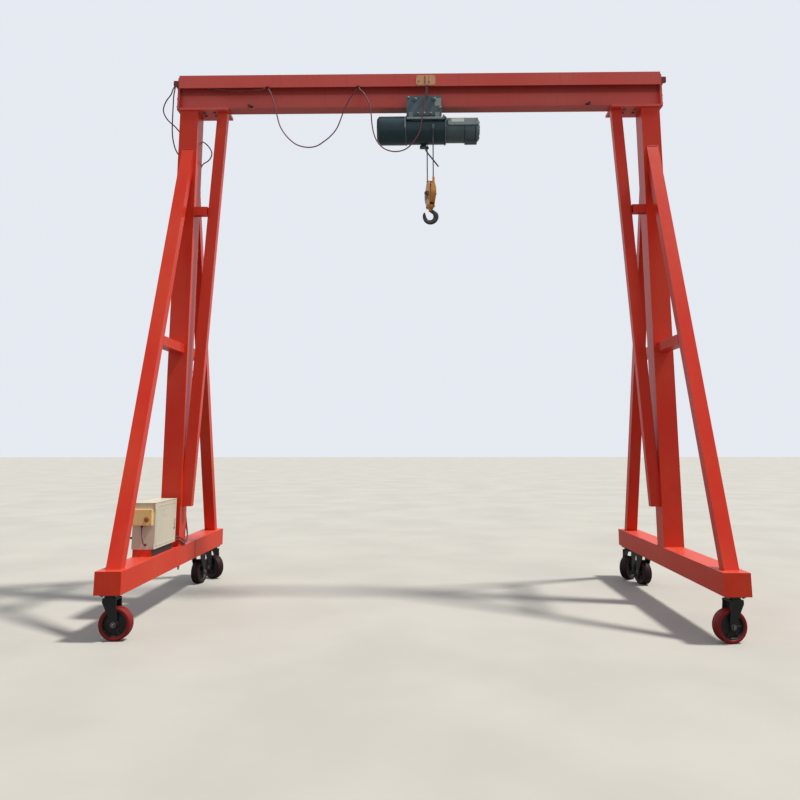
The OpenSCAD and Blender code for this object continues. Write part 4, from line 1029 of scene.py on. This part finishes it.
# %% Plate, saddles and ties
plate_face, gap_face = -0.11, -0.1112
bar = plate_on((0.0745, plate_face, 5.816), 0.01, 0.104, 0.003, 0.004, 0.0008)
gap = plate_on((0.12, plate_face, 5.816), 0.004, 0.104, 0.0015, 0.0012, 0.0003)
make_object("plate_bar", [bar, gap], "bracket_dark", "frame")
heads = bolts(0.01, to_front, [(0.122, gap_face, 5.806), (0.004, plate_face, 5.81)])
heads += bolts(0.006, to_front, product((-0.019, 0.183), (plate_face,), (5.768, 5.87)))
make_object("plate_heads", heads, "bolt_steel", "frame", "bracket_dark")
outer = [(-2.5454, 0.1052), (-2.5454, 0.117), (-2.5482, 0.1218), (-2.556, 0.1232), (-2.572, 0.1232),
         (-2.5812, 0.1213), (-2.5836, 0.1155), (-2.5836, 0.1091), (-2.608, 0.1091)]
inner = [(-2.582, 0.1075), (-2.582, 0.115), (-2.58, 0.12), (-2.572, 0.1216), (-2.556, 0.1216),
         (-2.549, 0.1203), (-2.547, 0.1165), (-2.547, 0.1052)]
heights = np.arange(1.05, 4.6, 0.7)
saddles = copies(slab(outer + inner, 0.016), upright, [(0, 0, z) for z in heights])
saddle_screws = bolts(0.006, to_back, [(-2.596, 0.1091, z + 0.008) for z in heights])
make_object("cable_saddles", saddles + saddle_screws, "bolt_steel", "frame", "bracket_dark")
lip_z, ties_at = 5.752, [(-2.6, 5.762), (-2.385, 5.742), (-2.24, 5.716), (-2.104, 5.706)]
ties = copies(flat_ring(0.0072, 0.009, -0.004, 0.004, 20), to_right, [(x, -0.092, z) for x, z in ties_at])
ties += [block((x - 0.003, -0.0985, z + 0.004), (x + 0.003, -0.097, lip_z), 0.0003) for x, z in ties_at[1:]]
make_object("cable_ties", ties, "dark_rubber", "frame", "cable_dark")
pin = lathe([(0.005, 0.349), (0.008, 0.352), (0.008, 0.375), (0.0165, 0.376), (0.0165, 0.38),
             (0.012, 0.381), (0.012, 0.3895)])
make_object("drain_pin", placed(pin, move=(-2.548, -0.08, 0)), "bolt_steel", "frame", "bracket_dark")
strap = slab([(-2.7, 0.5853), (-2.5348, 0.5853), (-2.5348, 0.392), (-2.5332, 0.392), (-2.5332, 0.586),
              (-2.534, 0.5868), (-2.7, 0.5868)], 0.014)
make_object("beam_strap", placed(strap, to_front, (0, 0.452, 0)), "bracket_dark", "frame")
print("saddles:", len(saddles))

# %% [markdown]
# ## Control cabinet
# The cabinet is a folded sheet case on a riser on the left base beam. Its door faces inwards, and a
# rotary switch sits in its own moulded box on the narrow front. Added are the rain lip round the
# roof, the pressed bead and the lock on the door, a blank plate, louvres on the outer side, the
# glands where the cables leave, and the switch's lid, knob and lead.

# %% Cabinet case and door
case_x0, case_x1, case_y0, case_y1, case_z1, door_x = -2.774, -2.569, -0.8, -0.2, 1.09, -2.5547
lip, door_lip, feed_place = 0.006, 0.017, (case_x0, -0.75, 0.757)
roof = block((case_x0 - lip, case_y0 - lip, case_z1),
             (case_x1 + door_lip, case_y1 + lip, case_z1 + 0.0045), 0.001)
make_object("cabinet_roof", roof, "cabinet_cream", "frame")
hood = slab([(0.0, 0.0), (0.011, 0.002), (0.0115, 0.004), (0.008, 0.014), (0.0, 0.026)], 0.15)
louvres = copies(hood, to_back, product((case_x0,), (-0.7, -0.45), np.arange(0.76, 1.000, 0.048)))
make_object("cabinet_louvres", louvres, "cabinet_cream", "frame")
glands = copies(gland, to_back, [(-2.59, case_y1, 0.67), (-2.582, case_y1, 0.7)])
glands.append(placed(gland, to_left, feed_place))
make_object("cabinet_glands", glands, "dark_rubber", "frame", "cable_dark")
stub = placed(lathe([(0.0095, 0.002), (0.0095, 0.054), (0.008, 0.058), (0.002, 0.059)]), to_left, feed_place)
make_object("feed_stub", stub, "dark_rubber", "frame", "cable_dark", smooth=True)
bead = np.insert(rounded_outline(0.53, 0.372, 0.03, 6) + (-0.506, 0.8725), 0, door_x, axis=1)
pressed = tube(bead, 0.003, 8)[0], [grid_faces(len(bead), 8, closed=True)]
make_object("door_bead", pressed, "cabinet_cream", "door", smooth=True)
blank = plate_on((door_x, -0.54, 0.985), 0.11, 0.07, 0.004, 0.0012, 0.0004, to_right)
make_object("door_blank_plate", blank, "cabinet_cream", "door")
rivet = lathe([(0.003, 0), (0.0027, 0.001), (0.0012, 0.0018)], 12)
rivets = copies(rivet, to_right, product((door_x + 0.0012,), (-0.588, -0.492), (0.956, 1.014)))
lock = lathe([(0.0125, 0), (0.0125, 0.003), (0.0105, 0.005), (0.008, 0.0055)], 28)
lock = placed(lock, to_right, (door_x, -0.251, 0.8))
keyhole = block((door_x + 0.005, -0.2525, 0.7945), (door_x + 0.0062, -0.2495, 0.8055), 0.0003)
make_object("door_lock", rivets + [lock, keyhole], "bolt_steel", "door", "cabinet_cream")
riser_x0, riser_x1 = -2.762, -2.578
riser_weld = weld_round(rect(riser_x0, riser_x1, case_y0, -0.22, foot_z), 0.004)
make_object("riser_weld", riser_weld, "base_red", "frame", smooth=True)
# painted shadow: a dark strip along the riser's inner side stands in for the shade under the cabinet
painted_shadow_strip = block((riser_x1 + 0.0002, -0.795, 0.59), (-2.5735, -0.225, 0.6525), 0.001)
make_object("riser_painted_shadow", painted_shadow_strip, "dark_rubber", "frame", "base_red")
make_object("riser_bolts", bolts(0.01, to_left, product((riser_x0,), (-0.72, -0.51, -0.3), (0.624,))),
            "bolt_steel", "frame", "base_red")

# %% Switch box
lid_x, lid_y, lid_z = -2.6725, -0.84, 0.959
lid = plate_on((lid_x, lid_y, lid_z), 0.191, 0.148, 0.007, 0.006, 0.0018)
make_object("switch_lid", lid, "box_ochre", "frame")
screw = lathe([(0.0048, 0), (0.0045, 0.0012), (0.0015, 0.0018)], 14)
screw_places = product((lid_x - 0.084, lid_x + 0.084), (lid_y - 0.006,), (lid_z - 0.063, lid_z + 0.063))
make_object("lid_screws", copies(screw, to_front, screw_places), "bolt_steel", "frame", "box_ochre")
flutes, knob_x, knob_z = full_turn(48), -2.625, 0.94
grip = np.column_stack([np.cos(flutes), np.sin(flutes)]) * (0.0182 + 0.0006 * np.cos(12 * flutes))[:, None]
rim = lathe([(0.0245, 0.0058), (0.0245, 0.0075), (0.0225, 0.0085)], 40)
mark_way = to_front @ around_z(-40)
knob = [placed(rim, to_front, (knob_x, lid_y, knob_z)),
        placed(slab(grip, 0.0135, 0.0012), to_front, (knob_x, lid_y - 0.0075, knob_z)),
        plate_on((knob_x, lid_y - 0.021, knob_z), 0.006, 0.034, 0.002, 0.005, 0.0008, mark_way)]
make_object("switch_knob", knob, "knob_brown", "frame", "box_ochre")
relief = lathe([(0.0058, 0.851), (0.0064, 0.853), (0.0062, 0.86), (0.0082, 0.862), (0.008, 0.868),
                (0.011, 0.87), (0.011, 0.8835)])
relief_low = lathe([(0.0115, 0), (0.0115, 0.007), (0.0085, 0.009), (0.008, 0.018), (0.006, 0.024)])
reliefs = [placed(relief, move=(-2.675, -0.822, 0)), placed(relief_low, to_front, (-2.641, case_y0, 0.699))]
make_object("switch_glands", reliefs, "dark_rubber", "frame", "cable_dark")
cable("switch_lead", [
    (-2.675, -0.822, 0.88), (-2.675, -0.8225, 0.852), (-2.672, -0.829, 0.82), (-2.664, -0.842, 0.785),
    (-2.654, -0.853, 0.757), (-2.648, -0.8562, 0.738), (-2.643, -0.8505, 0.7185), (-2.641, -0.836, 0.7045),
    (-2.641, -0.817, 0.699), (-2.641, -0.802, 0.699)], "frame", radius=0.005, step=0.01)
